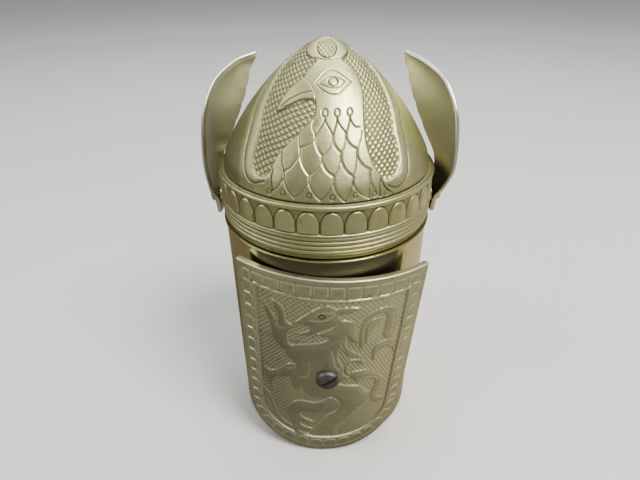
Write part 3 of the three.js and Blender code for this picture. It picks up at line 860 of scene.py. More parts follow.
def shield_relief(panel):
    """The border of blocks, the griffin raised on a sunk and chased ground, and its lines."""
    depth, along, near_top = from_edge(panel)
    shape = block_shape(panel, depth, along, near_top)
    block = smooth((1 - shape) / 0.16)
    border = smooth((depth - SHIELD_MARGIN) / 0.2) * smooth((SHIELD_FRAME - 0.25 - depth) / 0.2)
    field = smooth((depth - SHIELD_FRAME - 0.3) / 0.35)
    within, figure = griffin_shape(panel)
    ground = field * (1 - figure)

    panel.lift += RIM_LIFT * (1 - border) * (1 - field)
    panel.lift += border * (BLOCK_LIFT * block - GAP_SINK * (1 - block))
    crowned = STEP_LIFT * figure + CROWN_LIFT * smooth(within / CROWN_REACH)
    panel.lift += crowned * field - GROUND_SINK * ground
    edge_line = smooth(1.2 - np.abs(depth - SHIELD_MARGIN) / 0.26)
    block_edges = border * smooth((0.26 - np.abs(shape - 0.95)) / 0.16)
    panel.sink(0.16 * edge_line)
    panel.bare(0.35 * edge_line + 0.6 * block_edges)
    panel.darken(0.4 * border * (1 - block))
    # The field is painted darker on the left and lighter on the right, as painted shade and light;
    # it is also lighter low down.
    panel.darken((0.38 - 0.34 * smooth((panel.x + 20) / 30)) * field)
    panel.bare(0.22 * smooth(panel.x / 12) * ground)
    panel.bare(0.26 * smooth((-12 - panel.y) / 12) * field)
    chase_ground(panel, ground, within)

    # A raised line and a groove run round inside the border.
    off_frame = np.abs(depth - SHIELD_FRAME)
    panel.lift += 0.12 * np.clip(1 - (off_frame / 0.42) ** 2, 0, 1)
    panel.bare(0.5 * smooth(1.3 - off_frame / 0.3))
    groove = np.clip(1 - np.abs(depth - SHIELD_FRAME - 0.75) / 0.36, 0, 1)
    panel.sink(0.24 * groove)
    panel.darken(0.5 * smooth(groove))

    outline = smooth(1.25 - np.abs(figure - 0.4) / 0.4) * field
    panel.sink(0.06 * outline)
    panel.bare(0.45 * outline)
    for line in GRIFFIN_LINES:
        panel.stroke(line, 0.4, 0.2, -0.4)
    for lid in EYELIDS:
        panel.ridge(lid, 0.42, 0.5)
        panel.stroke(lid, 0.34, 0.0, -0.9)  # only bares the ridge
    panel.groove(oval(-2.5, 22.4, 0.72, 0.62), 0.3, 0.2)

    panel.bare(0.7 * smooth((0.4 - depth) / 0.2))
    into = np.clip(EDGE_WEAR - depth, 0, EDGE_WEAR)
    panel.lift -= EDGE_WEAR - np.sqrt(EDGE_WEAR**2 - into**2)


# The back's tones: painted shade over the back, for the shaded gap before the tube, bare worn metal
# on its foot and sides, and a little painted shade on the back of its top edge
BACK_PAINTED_SHADE, BACK_EDGE_TONE, TOP_EDGE_PAINTED_SHADE = 0.75, -0.35, 0.2


def shield_piece():
    """The bent plate: a fine front with the relief, a plain back and a narrow edge."""
    # Rows and columns are closer together at the edges, for the worn long edge.
    across = np.concatenate([[0, 0.05, 0.15], np.linspace(0.35, 53.65, 262), [53.85, 53.95, 54]])
    across = across / 27 - 1
    t = np.linspace(0, 1, 335)
    span = SHIELD_TOP - SHIELD_FOOT - 0.04
    rows = SHIELD_FOOT + 0.04 + span * (0.86 * t + 0.14 * t**3.5)
    start = np.array([0.05, 0.11, 0.16]) + SHIELD_FOOT
    rows = np.unique(np.concatenate([start, rows, SHIELD_TOP - np.array([0, 0.05, 0.15, 0.3])]))
    y = np.repeat(rows[:, None], len(across), 1)
    x = shield_half_width(rows)[:, None] * across[None]
    panel = Panel(x, y)
    shield_relief(panel)

    def on_bend(radius):
        turn = x / SHIELD_BEND
        centre = SHIELD_BEND - SHIELD_FRONT
        return np.stack([radius * np.sin(turn), centre - radius * np.cos(turn), y], -1)

    front = on_bend(SHIELD_BEND + panel.height())
    front[np.hypot(x, y) < SHANK, 1] += 0.3  # out of the way, under the screw's head
    pick = np.unique(np.round(np.linspace(0, len(rows) - 1, 60)).astype(int))
    columns = np.unique(np.round(np.linspace(0, len(across) - 1, 46)).astype(int))
    back = on_bend(SHIELD_BEND - SHIELD_THICKNESS)[np.ix_(pick, columns)]
    n_rows, n_columns = x.shape
    first = n_rows * n_columns
    faces = quads(n_rows, n_columns)
    faces += [face[::-1] for face in quads(len(pick), len(columns), first=first)]

    # The fine front's edge is sewn to the coarser back's.
    loop = [(r, 0) for r in range(n_rows)] + [(n_rows - 1, c) for c in range(1, n_columns)]
    loop += [(r, n_columns - 1) for r in range(n_rows - 2, -1, -1)]
    loop += [(0, c) for c in range(n_columns - 2, 0, -1)]
    at = {(r, c): (i, j) for i, r in enumerate(pick) for j, c in enumerate(columns)}
    previous = last = None
    for r, c in loop + loop[:1]:
        here = r * n_columns + c
        key = at.get((r, c))
        behind = first + key[0] * len(columns) + key[1] if key else last
        if previous is not None:
            corner = (previous, here, last)
            faces.append(corner if behind == last else (previous, here, behind, last))
        previous, last = here, behind

    # Painted shade on the back, bare wear on its foot and sides
    back_shade_and_wear = np.full(back.shape[:2], BACK_PAINTED_SHADE)
    back_shade_and_wear[0] = back_shade_and_wear[:, 0] = back_shade_and_wear[:, -1] = BACK_EDGE_TONE
    back_shade_and_wear[-1] = TOP_EDGE_PAINTED_SHADE
    points = np.vstack([front.reshape(-1, 3), back.reshape(-1, 3)])
    tone = np.concatenate([panel.tone().ravel(), back_shade_and_wear.ravel()])
    made = mesh_object("shield_griffin", points, faces, tone, sharp_over=55)
    tilt = Matrix.Rotation(math.radians(SHIELD_TILT), 4, "Y")
    move(made, Matrix.Translation((0, 0, SCREW_Z * MM)) @ tilt)
    finish_piece(made, "shield", "brass_shield", SHIELD_BRASS, "shield_plate")


# ---------------------------------------------------------------- lid collar and band

COLLAR_WALL = 0.9
# The band's profile, in heights above the rim: each reed's middle, half height, valley and crest
REEDS = [
    (2.1, 0.61, 28.22, 28.78), (3.35, 0.61, 28.22, 28.85), (4.6, 0.61, 28.22, 28.85),
    (5.8, 0.59, 28.22, 28.85), (6.75, 0.41, 28.2, 28.98),
]
COVE_RADIUS, REEDS_TOP, PETAL_GROUND = 28.12, 7.17, 28.42
BEAD_FOOT, BEAD_MIDDLE, BEAD_HALF, BEAD_GROUND, BEAD_LIFT = 13.03, 13.75, 0.72, 28.3, 0.7
BAND_FOOT, BAND_TOP, BAND_BORE = 0.3, 14.4, 27.3
BAND_COLUMNS = 768
# Where dirt stays in the band's grooves, and half how far it spreads
GROOVES = [
    (REEDS_TOP, 0.2), (13.08, 0.25), (1.48, 0.2), (2.72, 0.22), (3.97, 0.22), (5.2, 0.22),
    (6.36, 0.18),
]
PETALS = 32
PETAL_TURN = 1.8  # degrees from the front to the middle of the first petal
PETAL_FOOT, PETAL_SPRING, PETAL_TOP = 7.2, 9.2, 13.0
PETAL_LIFT, PETAL_GAP = 0.5, 0.1  # the height of a petal's middle, the depth between petals


def collar_piece():
    shape = ring(COLLAR_HIGH[0] - COLLAR_WALL, COLLAR_HIGH[0], COLLAR_LOW[2], COLLAR_HIGH[2])
    made = turned("lid_collar_sleeve", rounded(shape, 0.3), 160)
    finish_piece(made, "lid", "brass_collar", SHEET_BRASS, "lid_collar")


def band_radius(h):
    """The band's plain radius at heights above the rim: cove, reeds, the petals' ground, bead."""
    radius = np.full_like(h, COVE_RADIUS)
    for middle, half, valley, crest in REEDS:
        share = np.clip(1 - ((h - middle) / half) ** 2, 0, 1)
        radius = np.where(share > 0, valley + (crest - valley) * np.sqrt(share), radius)
    radius = np.where(h >= REEDS_TOP, PETAL_GROUND, radius)
    bead = np.clip(1 - ((h - BEAD_MIDDLE) / BEAD_HALF) ** 2, 0, 1)
    return np.where(h >= BEAD_FOOT, BEAD_GROUND + BEAD_LIFT * np.sqrt(bead), radius)


def band_piece():
    """The band with its petals, from the foot of the cove up over the bead and down inside."""
    rows = np.concatenate([[BAND_FOOT, 0.34, 0.5, 1.0, 1.38], np.linspace(1.5, BAND_TOP, 88)])
    around_band = np.radians(np.arange(BAND_COLUMNS) * (360 / BAND_COLUMNS))
    h, turn = np.meshgrid(rows, around_band, indexing="ij")
    pitch = 2 * math.pi / PETALS
    half = pitch * BAND_RADIUS / 2
    beside = (((turn - math.radians(PETAL_TURN)) / pitch + 0.5) % 1 - 0.5) * 2 * half
    above = np.clip(h - PETAL_SPRING, 0, None) / (PETAL_TOP - PETAL_SPRING)
    away = half * np.hypot(beside / half, above)
    inside = half - 0.05 - away
    petal = smooth(inside / 0.38)
    zone = smooth((h - PETAL_FOOT) / 0.12) * smooth((PETAL_TOP + 0.15 - h) / 0.12)
    crown = PETAL_LIFT * (1 - 0.6 * (away / half) ** 2)
    stipple = np.sin(turn * 211) * np.sin(h * 9.1 + 3 * np.sin(turn * 37))
    relief = petal * crown + (1 - petal) * (0.05 * stipple - PETAL_GAP)
    outer = around(band_radius(h) + zone * relief, turn, h)

    # The petals are outlined in dirt with a painted highlight just inside it, and their faces are
    # painted lighter, most of all on the right, and darker on the left, as painted light and shade.
    outline = smooth(1.2 - np.abs(inside - 0.02) / 0.2)
    gaps = (1 - petal) * (0.25 + 0.2 * np.clip(stipple, 0, 1))
    tone = zone * np.maximum(gaps, 0.95 * outline)
    tone -= (0.3 + 0.48 * np.sin(turn)) * zone * smooth((inside - 0.2) / 0.3)
    tone -= 0.3 * zone * smooth(1 - np.abs(inside - 0.4) / 0.25)
    tone += 0.16 * smooth((7 - h) / 0.3)
    for at, width in GROOVES:
        tone = np.maximum(tone, 0.6 * smooth(1.25 - np.abs(h - at) / width))
    # The cove under the reeds is darkened as painted shade.
    tone = np.maximum(tone, smooth((1.5 - h) / 0.3) * 0.6)
    tone = np.maximum(tone, 0.85 * smooth((h - 14.25) / 0.1))

    inner = [(BAND_BORE + 0.1, BAND_TOP), *((BAND_BORE, h) for h in (13, 7, 1))]
    inner.append((BAND_BORE + 0.1, BAND_FOOT))
    points = np.vstack([outer.reshape(-1, 3), *(around(r, around_band, z) for r, z in inner)])
    faces = quads(len(rows) + len(inner), len(around_band), wrap_rows=True, wrap_columns=True)
    made = mesh_object("crown_band_petals", points, faces, tone.ravel(), sharp_over=60)
    finish_piece(made, "lid", "brass_band", CAST_BRASS, "crown_band")


# ---------------------------------------------------------------- helmet dome

DOME_FOOT = 14.7  # the dome's lower edge above the rim
# The dome's outline: radius, and height above the rim. It ends mirrored past the tip.
DOME_OUTLINE = [
    (27.5, 14.7), (26.3, 19), (21.6, 26.9), (16, 33.8), (10.2, 39.4), (4.8, 43.2), (1.8, 44.7),
    (0, 45.1), (-1.8, 44.7),
]

# The bird's head in profile on the dome: millimetres right of the middle, and up along the dome
LEFT_FIELD = [
    (-17.5, 18), (-17.8, 14), (-18.5, 10), (-19.1, 6.6), (-17.8, 4.4), (-15.2, 4.3), (-13.4, 6.4),
    (-11.8, 9.6), (-9.6, 12), (-6.4, 15.2), (-4.2, 17.7), (-2.9, 19.4), (-2.6, 21.2), (-2.9, 23),
    (-5.8, 22.9), (-8.6, 21.5), (-12.3, 19.5), (-11.6, 21.8), (-9.6, 24.8), (-7.6, 26.9),
    (-5.7, 28.4), (-5.1, 29.7), (-3.9, 31.4), (-2.5, 33.2), (-3.6, 34.3), (-5.3, 35.3),
    (-6, 37.3), (-6.6, 39), (-9, 37.5), (-12, 34), (-14.2, 30), (-15.6, 26.5), (-16.9, 22),
]
RIGHT_FIELD = [
    (17.6, 18), (17.2, 14), (17.9, 10), (17.9, 6.4), (16, 4.1), (13.6, 3.9), (11.8, 5.8),
    (10.1, 8.6), (8.9, 12.4), (8.4, 16.4), (8.5, 21.8), (8.5, 24.4), (7.7, 28.3), (5.3, 31.8),
    (3.8, 33.3), (4.3, 34.3), (5.6, 35.4), (6.2, 37.3), (6.6, 39), (9.5, 37), (12.5, 33.5),
    (15, 29.5), (16.6, 25), (17.4, 21),
]
LEFT_CONTOUR = [
    (-15.2, 3.3), (-16.8, 2.7), (-18.3, 2.2), (-20, 2.3), (-21.2, 3.2), (-22, 4.8), (-22.3, 7),
    (-21.9, 10.8), (-21.4, 14.4), (-21.1, 18.4), (-20.4, 22), (-18.9, 26), (-16.3, 30),
    (-12.8, 34), (-9.4, 37.5),
]
RIGHT_CONTOUR = [
    (14.3, 2.5), (15.8, 1.7), (17, 1.4), (18.4, 1.8), (19.6, 2.5), (20.9, 3.6), (21.3, 6.5),
    (21.1, 10.8), (20.6, 15), (21.4, 18.4), (20.8, 22), (19.1, 26), (16.5, 30), (13.2, 34),
    (9.8, 37.5),
]
SCALE_ROWS = [
    [(-2.7, 14.9), (1.1, 15), (4.05, 15.4), (7.8, 15.5)],
    [(-6.2, 12), (-1.3, 10.4), (2.9, 11), (6.6, 11.5)],
    [(-10.1, 6.3), (-4.2, 6.1), (1.2, 5.9), (5.6, 5.6), (9.7, 6.6)],
    [(-13.1, 1.5), (-7.9, 0.9), (-1.8, 0.7), (3.7, 0.3), (9.3, 0.5), (12.3, 0.3)],
]
BIRD_LINES = [
    [(-5.9, 28.6), (-4.7, 28), (-3.8, 27), (-3.2, 25.7), (-2.7, 24.4), (-2.7, 23.1)],  # face
    [
        (-3.5, 25.2), (-4.7, 24.8), (-6.2, 24.3), (-7.5, 23.6), (-8.8, 22.9), (-9.9, 22),
        (-11.4, 20.6),
    ],
    [(-3, 23.2), (-4.3, 23.3), (-5.8, 23), (-7.3, 22.3), (-8.6, 21.6), (-10.6, 20.6)],  # beak
    [(-2.7, 23.3), (-2.6, 21), (-3.2, 18), (-3.4, 16.5), (-2.7, 14.9)],  # throat
    [
        (-2.6, 27.3), (-1.65, 28.5), (-0.8, 29.7), (0.5, 30.6), (1.8, 30.4), (3.1, 29.5),
        (5.7, 27.3),
    ],
    [
        (-2.6, 27.3), (-2.1, 26.5), (-1, 25.5), (0.3, 24.7), (1.8, 24.5), (2.9, 24.9), (4, 26),
        (5.7, 27.3),
    ],
    [(-1.9, 27.2), (-0.8, 28.2), (0.5, 28.95), (2, 28.85), (3.1, 28.3), (4.1, 27.5)],
    [(-1.9, 27.2), (-1.2, 26.8), (0.1, 26.3), (1.4, 26.1), (2.7, 26.3), (4.1, 27.5)],
    [(-13.7, 30.5), (-11.6, 31), (-9.6, 31.8), (-7.6, 32.4), (-5.8, 33.6)],
]
TIP_LINES = [
    [(-2.2, 34), (-4, 34.3), (-5.4, 35.3), (-6, 37.2), (-6.3, 39.2)],
    [(2.4, 34), (4.2, 34.3), (5.6, 35.3), (6.2, 37.2), (6.4, 39.2)],
    [(-3.2, 34.1), (0.1, 33.7), (3.4, 34.1)],
]
NECK_LINES = [
    [(-6.3, 14.6), (-6.5, 13.2), (-6.2, 12)],
    [(-10.6, 10.6), (-10.6, 8.4), (-10.1, 6.3)],
    [(-12.9, 6.4), (-13.3, 4.2), (-13.1, 1.5)],
    [(12.4, 4.5), (13.4, 2.3), (15.9, 0.2)],
    [(12.4, 4.5), (12.1, 2.3), (12.3, 0.3)],
]
ROLLS = [  # the soft rolls between the fields and the contours
    [
        (-15.4, 3.8), (-18, 3.2), (-20.3, 4.2), (-20.8, 6.8), (-20.3, 10.6), (-19.7, 14.4),
        (-19.3, 18), (-18.7, 22), (-17.2, 26), (-15.0, 30),
    ],
    [
        (14.6, 3.2), (17, 2.6), (19.2, 4), (19.8, 7), (19.5, 11), (19.0, 15), (19.6, 18),
        (19.1, 22), (17.9, 26), (16, 29.8),
    ],
]
STALKS = [  # each ring below the cheek: its middle, its height, and the feet of its stalks
    (-0.65, 0.9, (-2.7, 14.9), (1.1, 15.0)),
    (2.05, 0.95, (1.1, 15.0), (4.05, 15.4)),
    (5.0, 0.9, (4.05, 15.4), (7.4, 16.4)),
]
RINGS = [(-14, 1.3), (-10.4, 1.6), (-4.3, 1.7), (0.9, 1.3), (6.1, 1.5), (10.7, 1.1), (13.9, 0.9)]
# A scale's sides, in shares of the way across and down, and their half width, depth and shade
RIGHT_SIDE = [(0, 0), (0.0, 0.3), (0.16, 0.54), (0.5, 0.79), (1, 1)], (0.40, 0.3, 0.45)
LEFT_SIDE = [(0, 0), (0.02, 0.2), (0.2, 0.46), (0.56, 0.78), (1, 1)], (0.24, 0.18, 0.75)
FIELD_SINK, ROLL_LIFT, EGG_LIFT = 0.26, 0.22, 0.18
CROSSHATCH = (0.36, 0.24, 0.7)
FINE = (0.26, 0.2)
DOME_SIDES_PAINTED_SHADE = {-1: 0.64, 1: 0.2}  # painted shade outside the left and right contours


def scales(panel):
    """Each scale hangs between two nodes of the row above and ends in a point at a node below."""
    for upper, lower in zip(SCALE_ROWS[:-1], SCALE_ROWS[1:]):
        for x0, y0 in upper:
            for x1, y1 in lower:
                across, drop = x1 - x0, y0 - y1
                if 0.8 < across < 4.6:
                    side, cut = RIGHT_SIDE
                elif -4.2 < across < -0.3:
                    side, cut = LEFT_SIDE
                else:
                    continue
                panel.stroke([(x0 + a * across, y0 - b * drop) for a, b in side], *cut)
    for line in NECK_LINES:
        panel.stroke(line, 0.3, 0.22)


def bird_relief(panel):
    """A bird of prey's head with a scaled neck, between two sunk crosshatched fields."""
    fields = [curve_through(outline, 5, closed=True) for outline in (LEFT_FIELD, RIGHT_FIELD)]
    ground = np.maximum(*(panel.area(field, 0.5) for field in fields))
    left = panel.x < 0
    for roll in ROLLS:
        panel.ridge(roll, 1.5, ROLL_LIFT)
    panel.lift -= FIELD_SINK * ground
    panel.darken(0.12 * ground)
    panel.hatch(ground * left, 27, 1.22, *CROSSHATCH)
    panel.hatch(ground * left, -58, 1.22, *CROSSHATCH)
    panel.hatch(ground * ~left, 47, 1.2, *CROSSHATCH)
    panel.hatch(ground * ~left, -52, 1.2, *CROSSHATCH)
    for field in fields:
        panel.groove(field, 0.26, 0.08, 0.55)
    for line in (LEFT_CONTOUR, RIGHT_CONTOUR):
        panel.stroke(line, 0.42, 0.24, 0.8)
    for line in BIRD_LINES + TIP_LINES:
        panel.stroke(line, 0.25, 0.2, 0.8)
    scales(panel)
    for x, tall, *feet in STALKS:
        panel.groove(oval(x, 20.1, 0.62, tall), *FINE)
        for fx, fy in feet:
            line = [(x, 19.2), (x + 0.1 * (fx - x), 18.0), (x + 0.5 * (fx - x), 16.6), (fx, fy)]
            panel.stroke(line, 0.27, 0.2)
    panel.groove(oval(1.3, 27.65, 1.05, 1.05), *FINE)
    for x, y in RINGS:
        panel.groove(oval(x, y, 0.55, 0.6, steps=16), 0.22, 0.18)

    # The plain sides are painted darker than the face as painted shade, most of all on the left.
    panel.darken(0.25 * smooth((-17.6 - panel.x) / 1.6))
    for contour, sign in ((LEFT_CONTOUR, -1), (RIGHT_CONTOUR, 1)):
        rising = np.array(contour[5:])
        outside = sign * (panel.x - np.interp(panel.y, rising[:, 1], rising[:, 0]))
        panel.darken(DOME_SIDES_PAINTED_SHADE[sign] * smooth((outside - 0.4) / 2.5))

    # The hatched egg at the tip
    egg = oval(0.1, 37.4, 2.35, 3.2)
    inside = panel.area(egg, 0.5)
    panel.lift += EGG_LIFT * inside
    panel.hatch(inside, 56, 0.85, 0.3, 0.18, 0.6)
    panel.hatch(inside, -62, 0.95, 0.28, 0.14, 0.5)
    panel.groove(egg, 0.3, 0.2)
    panel.darken(0.7 * smooth((0.35 - panel.y) / 0.3))


DOME_WALL = 1.1
SKIRT_RADIUS, SKIRT_FOOT, SKIRT_TOP = 27.0, 10.2, 15.4  # the dome's plain skirt inside the band
TIP_LEFT = 0.12  # slant length left for the triangles round the tip
ENGRAVED_TURN = 100  # degrees from the front where the relief ends
FINE_TURN, FRONT_TURN = 50, 102  # and where the fine and middling meshes end
DOME_ROWS, FINE_COLUMNS, SIDE_COLUMNS, BACK_COLUMNS = 234, 236, 66, 26


def dome_piece():
    """The pointed dome. Its front half is meshed finely for the engraving."""
    line = curve_through(DOME_OUTLINE, 80)
    line = line[: np.argmin(np.abs(line[:, 0])) + 1]
    line[-1, 0] = 0
    slant = np.concatenate([[0], np.cumsum(np.hypot(*np.diff(line, axis=0).T))])
    up = np.linspace(0, slant[-1] - TIP_LEFT, DOME_ROWS)
    radius, height = np.interp(up, slant, line[:, 0]), np.interp(up, slant, line[:, 1])
    tangent = np.stack([np.gradient(radius), np.gradient(height)], -1)
    tangent /= np.linalg.norm(tangent, axis=1)[:, None]
    fine = np.radians(np.linspace(-FINE_TURN, FINE_TURN, FINE_COLUMNS))
    side = np.radians(np.linspace(FINE_TURN, FRONT_TURN, SIDE_COLUMNS))[1:]
    coarse = np.radians(np.linspace(FRONT_TURN, 360 - FRONT_TURN, BACK_COLUMNS))[1:-1]
    turn = np.concatenate([fine, side, coarse, 2 * math.pi - side[::-1]])
    y, angle = np.meshgrid(up, turn, indexing="ij")
    seen = np.where(angle > math.pi, angle - 2 * math.pi, angle)
    panel = Panel(radius[:, None] * seen, y)
    bird_relief(panel)
    front = (np.abs(seen) < math.radians(ENGRAVED_TURN)).astype(float)
    rise = panel.height() * front
    r = radius[:, None] + tangent[:, 1][:, None] * rise
    z = height[:, None] - tangent[:, 0][:, None] * rise
    outer = around(r, angle, z)
    hollow = SKIRT_RADIUS - DOME_WALL
    inner = [(SKIRT_RADIUS, DOME_FOOT), (SKIRT_RADIUS, SKIRT_FOOT)]
    inner += [(hollow, SKIRT_FOOT), (hollow, SKIRT_TOP)]
    for at in np.linspace(4, slant[-1] - 1.5, 16):
        i = int(np.argmin(np.abs(up - at)))
        inner.append((radius[i] - DOME_WALL * tangent[i, 1], height[i] + DOME_WALL * tangent[i, 0]))
    points = np.vstack([outer[::-1].reshape(-1, 3), *(around(a, turn, b) for a, b in inner)])
    rows, columns = len(up) + len(inner), len(turn)
    faces = quads(rows, columns, wrap_columns=True)
    tip, under_tip = len(points), len(points) + 1
    points = np.vstack([points, [0, 0, RIM + line[-1, 1]], [0, 0, RIM + line[-1, 1] - 1.5]])
    for i in range(columns):
        j = (i + 1) % columns
        faces.append((tip, j, i))
        faces.append((under_tip, (rows - 1) * columns + i, (rows - 1) * columns + j))
    tone = (panel.tone() * front)[::-1].ravel()
    made = mesh_object("helmet_dome_engraved", points, faces, tone, sharp_over=60)
    finish_piece(made, "lid", "brass_dome", CAST_BRASS, "helmet_dome")


# ---------------------------------------------------------------- wings

WING_THICKNESS = 1.3
EDGE_ROUND = 0.22
# Left and right: how much thinner the leading edge is, the tip's extra length, the painted light
# and shade low on the inner face, dark where it is over 0 and bright below 0, and the painted sheen
# on the rest of that face
EDGE_FILED = {-1: 0.35, 1: 0.0}
TIP_REACH = {-1: 1.2, 1: 0.0}
INNER_LOW_PAINTED_LIGHT_AND_SHADE = {-1: -0.95, 1: 0.95}
INNER_PAINTED_SHEEN = {-1: 0.9, 1: 0.8}
# A wing's outer face, from the foot of its stem to its tip: distance from the middle plane,
# distance behind the body's axis, height above the rim
LEADING_EDGE = [
    (31.2, -1.6, -1.3), (31.3, -2.6, 3), (32, -5.2, 7.4), (32.8, -7, 13.9), (32.3, -7.5, 22),
    (31.3, -6, 29.2), (28.8, -1, 35.4), (24.6, 5, 38.7), (20.4, 9.6, 40.3),
]
TRAILING_EDGE = [
    (31.2, 1.6, -1.3), (31.2, 2.6, 3), (31.2, 3.6, 7.2), (30.7, 6.6, 13.4), (27.4, 8.9, 20.5),
    (24.7, 9.7, 26.5), (23, 10.2, 31), (21.5, 10.3, 36), (20, 10.4, 40.1),
]
# Heights above the rim where the wing's feathers end along its trailing edge
FEATHER_TIPS = [4, 14, 22, 27, 31, 35, 40.1]
FEATHER_STEP = 0.45
CAMBER, CAMBER_WAY = 1.6, (0.94, 0.34, 0)
LEAF_THINNER = 0.4  # than the stem
LEAF_LEAN, LEAN_RISE = 0.9, 10.2  # how far to the right both leaves lean, and over what height
WING_LENGTH = 44
BARBS, BARB_SWEEP, BARB_WIDTH, BARB_DEPTH = 22, 3.2, 0.14, 0.14  # widths as shares of their pitch
QUILL = 0.28  # share of the width where the quill runs
RIVET_HEIGHT, RIVET_HOLE = 3.8, 1.3  # height above the rim, and the hole's radius


def wing_piece(name, side):
    """A leaf of sheet brass, cupped towards the dome, with feathers cut in its outer face."""
    along, across = 150, 56
    leading = curve_through(LEADING_EDGE, 40)
    trailing = curve_through(TRAILING_EDGE, 40)
    t = np.linspace(0, 1, along)
    known = np.linspace(0, 1, len(leading))
    lead, trail = (
        np.stack([np.interp(t, known, edge[:, k]) for k in range(3)], -1)
        for edge in (leading, trailing)
    )
    width = np.linalg.norm(trail - lead, axis=1)
    u = np.concatenate([[0, 0.008, 0.025], np.linspace(0.05, 0.95, across - 6), [0.975, 0.992, 1]])
    # The trailing edge steps in where one feather ends and the next begins.
    feather = np.interp(trail[:, 2], FEATHER_TIPS, np.arange(len(FEATHER_TIPS)))
    bulge = FEATHER_STEP * np.sqrt(np.clip(1 - (2 * (feather % 1) - 1) ** 2, 0, 1))
    bulge = bulge * smooth((t - 0.35) / 0.1) * smooth((0.97 - t) / 0.04)
    reach = u[None] + (bulge / np.maximum(width, 1))[:, None] * u[None] ** 8
    points = lead[:, None] + (trail - lead)[:, None] * reach[..., None]
    leaf = np.clip((t - 0.2) / 0.8, 0, 1)
    camber = CAMBER * np.sin(math.pi * leaf)[:, None] * (4 * u * (1 - u))[None]
    points = points + camber[..., None] * np.array(CAMBER_WAY)
    points[..., 0] -= (TIP_REACH[side] * smooth((t - 0.86) / 0.14) ** 2)[:, None]
    upward, backward = np.gradient(points, axis=0), np.gradient(points, axis=1)
    normal = np.cross(backward, upward)
    normal /= np.maximum(np.linalg.norm(normal, axis=-1), 1e-9)[..., None]
    size = np.minimum(u, 1 - u)[None] * width[:, None]
    edge = np.minimum(size, np.minimum(t, 1 - t)[:, None] * WING_LENGTH)
    soft = np.clip(EDGE_ROUND - edge, 0, EDGE_ROUND)
    soft = EDGE_ROUND - np.sqrt(EDGE_ROUND**2 - soft**2)
    # Barbs sweep from the leading edge back and down.
    barb = (t[:, None] * BARBS + u[None] * BARB_SWEEP) % 1
    barb = smooth(1 - np.minimum(barb, 1 - barb) / BARB_WIDTH)
    quill = smooth(1 - np.abs(u - QUILL) / 0.03)[None]
    inside = smooth((t[:, None] - 0.24) / 0.04) * smooth((edge - 0.8) / 0.6)
    lines = inside * np.maximum(barb, quill)
    outer = points - normal * (soft + BARB_DEPTH * lines)[..., None]
    in_leaf = smooth((t - 0.14) / 0.16)[:, None]
    filed = EDGE_FILED[side] * smooth(1 - u * width[:, None] / 1.8) * in_leaf
    inner = points - normal * (WING_THICKNESS - LEAF_THINNER * in_leaf - filed - soft)[..., None]
    lean = LEAF_LEAN * smooth((points[..., 2] - RIVET_HEIGHT) / LEAN_RISE)

    def put(p):
        return np.stack([side * p[..., 0] + lean, p[..., 1], RIM + p[..., 2]], -1)

    grid = np.concatenate([put(outer), put(inner)[:, ::-1]], 1)
    rows, columns = grid.shape[:2]
    faces = quads(rows, columns, wrap_columns=True)
    for first in (0, (rows - 1) * columns):
        last = first + columns - 1
        faces += [(first + c, first + c + 1, last - 1 - c, last - c) for c in range(across - 1)]
    low = smooth((15 - points[..., 2]) / 5)
    # Low on the inner face: painted shade on the right wing and a painted highlight on the left;
    # above it, a painted sheen.
    inner_painted_light = INNER_LOW_PAINTED_LIGHT_AND_SHADE[side] * low - INNER_PAINTED_SHEEN[side] * (1 - low)
    worn = 0.9 * smooth((0.32 - edge) / 0.2)
    tone = np.concatenate([lines * 0.8 - worn, (inner_painted_light - worn)[:, ::-1]], 1)
    return mesh_object(name, grid.reshape(-1, 3), faces, tone.ravel(), sharp_over=60)


def sideways(made, side):
    """Turns a piece made along +Z to point out to one side at the rivet's height."""
    turn = Matrix.Rotation(side * math.pi / 2, 4, "Y")
    return move(made, Matrix.Translation((0, 0, (RIM + RIVET_HEIGHT) * MM)) @ turn)


def side_reach(node):
    """How near and how far from the middle plane a CAD node lies, in millimetres."""
    low, high = node_box(node)
    return sorted((abs(low[0]), abs(high[0])))


def wing_pieces():
    for label, side in (("left", -1), ("right", 1)):
        wing = wing_piece(f"wing_{label}_feathered", side)
        finish_piece(wing, "lid", "brass_wing", WING_BRASS, f"wing_{label}")

        node = f"wing_rivet_{label}"
        tail, far = side_reach(node)
        seat = far - 1.0
        outline = [(0, tail), (1, tail), (1, seat), (1.85, seat), (1.9, seat + 0.3)]
        outline += [(1.5, seat + 0.72), (0.8, seat + 0.95), (0, far)]
        rivet = turned(f"{node}_hammered", rounded(outline, 0.18), 64, sharp_over=None)
        finish_piece(sideways(rivet, side), "lid", "brass_fittings", SHEET_BRASS, node)

        for part, radius in (("wing_pad", 2.4), ("wing_burr", 2.6)):
            node = f"{part}_{label}"
            shape = rounded(ring(RIVET_HOLE, radius, *side_reach(node)), 0.18)
            made = sideways(turned(f"{node}_turned", shape, 64), side)
            finish_piece(made, "lid", "brass_fittings", SHEET_BRASS, node)


# ---------------------------------------------------------------- stage, light and camera


def floor_disc(name, material, radius, vertices, height=0.0):
    """A flat disc with a material, at a given height."""
    bpy.ops.mesh.primitive_circle_add(
        vertices=vertices, radius=radius, fill_type="NGON", location=(0, 0, height)
    )
    made = bpy.context.object
    made.name = name
    made.data.materials.append(material)
    return made


def stage():
    material = bpy.data.materials.new("pale_floor")
    look = Look(material)
    mottle = look.noise(6, 3, 0.5)
    look.set("Base Color", look.blend(mottle, (0.62, 0.61, 0.59), (0.68, 0.67, 0.65)))
    look.set("Roughness", 0.7)
    floor_disc("floor", material, 3.0, 96)


CARD_REACH = 0.25  # metres from the axis over which the card's tones in front are spread
CARD_TONES = ((0.2, 0.13), (0.34, 0.12), (0.46, 0.17), (0.6, 0.17), (0.75, 0.18))


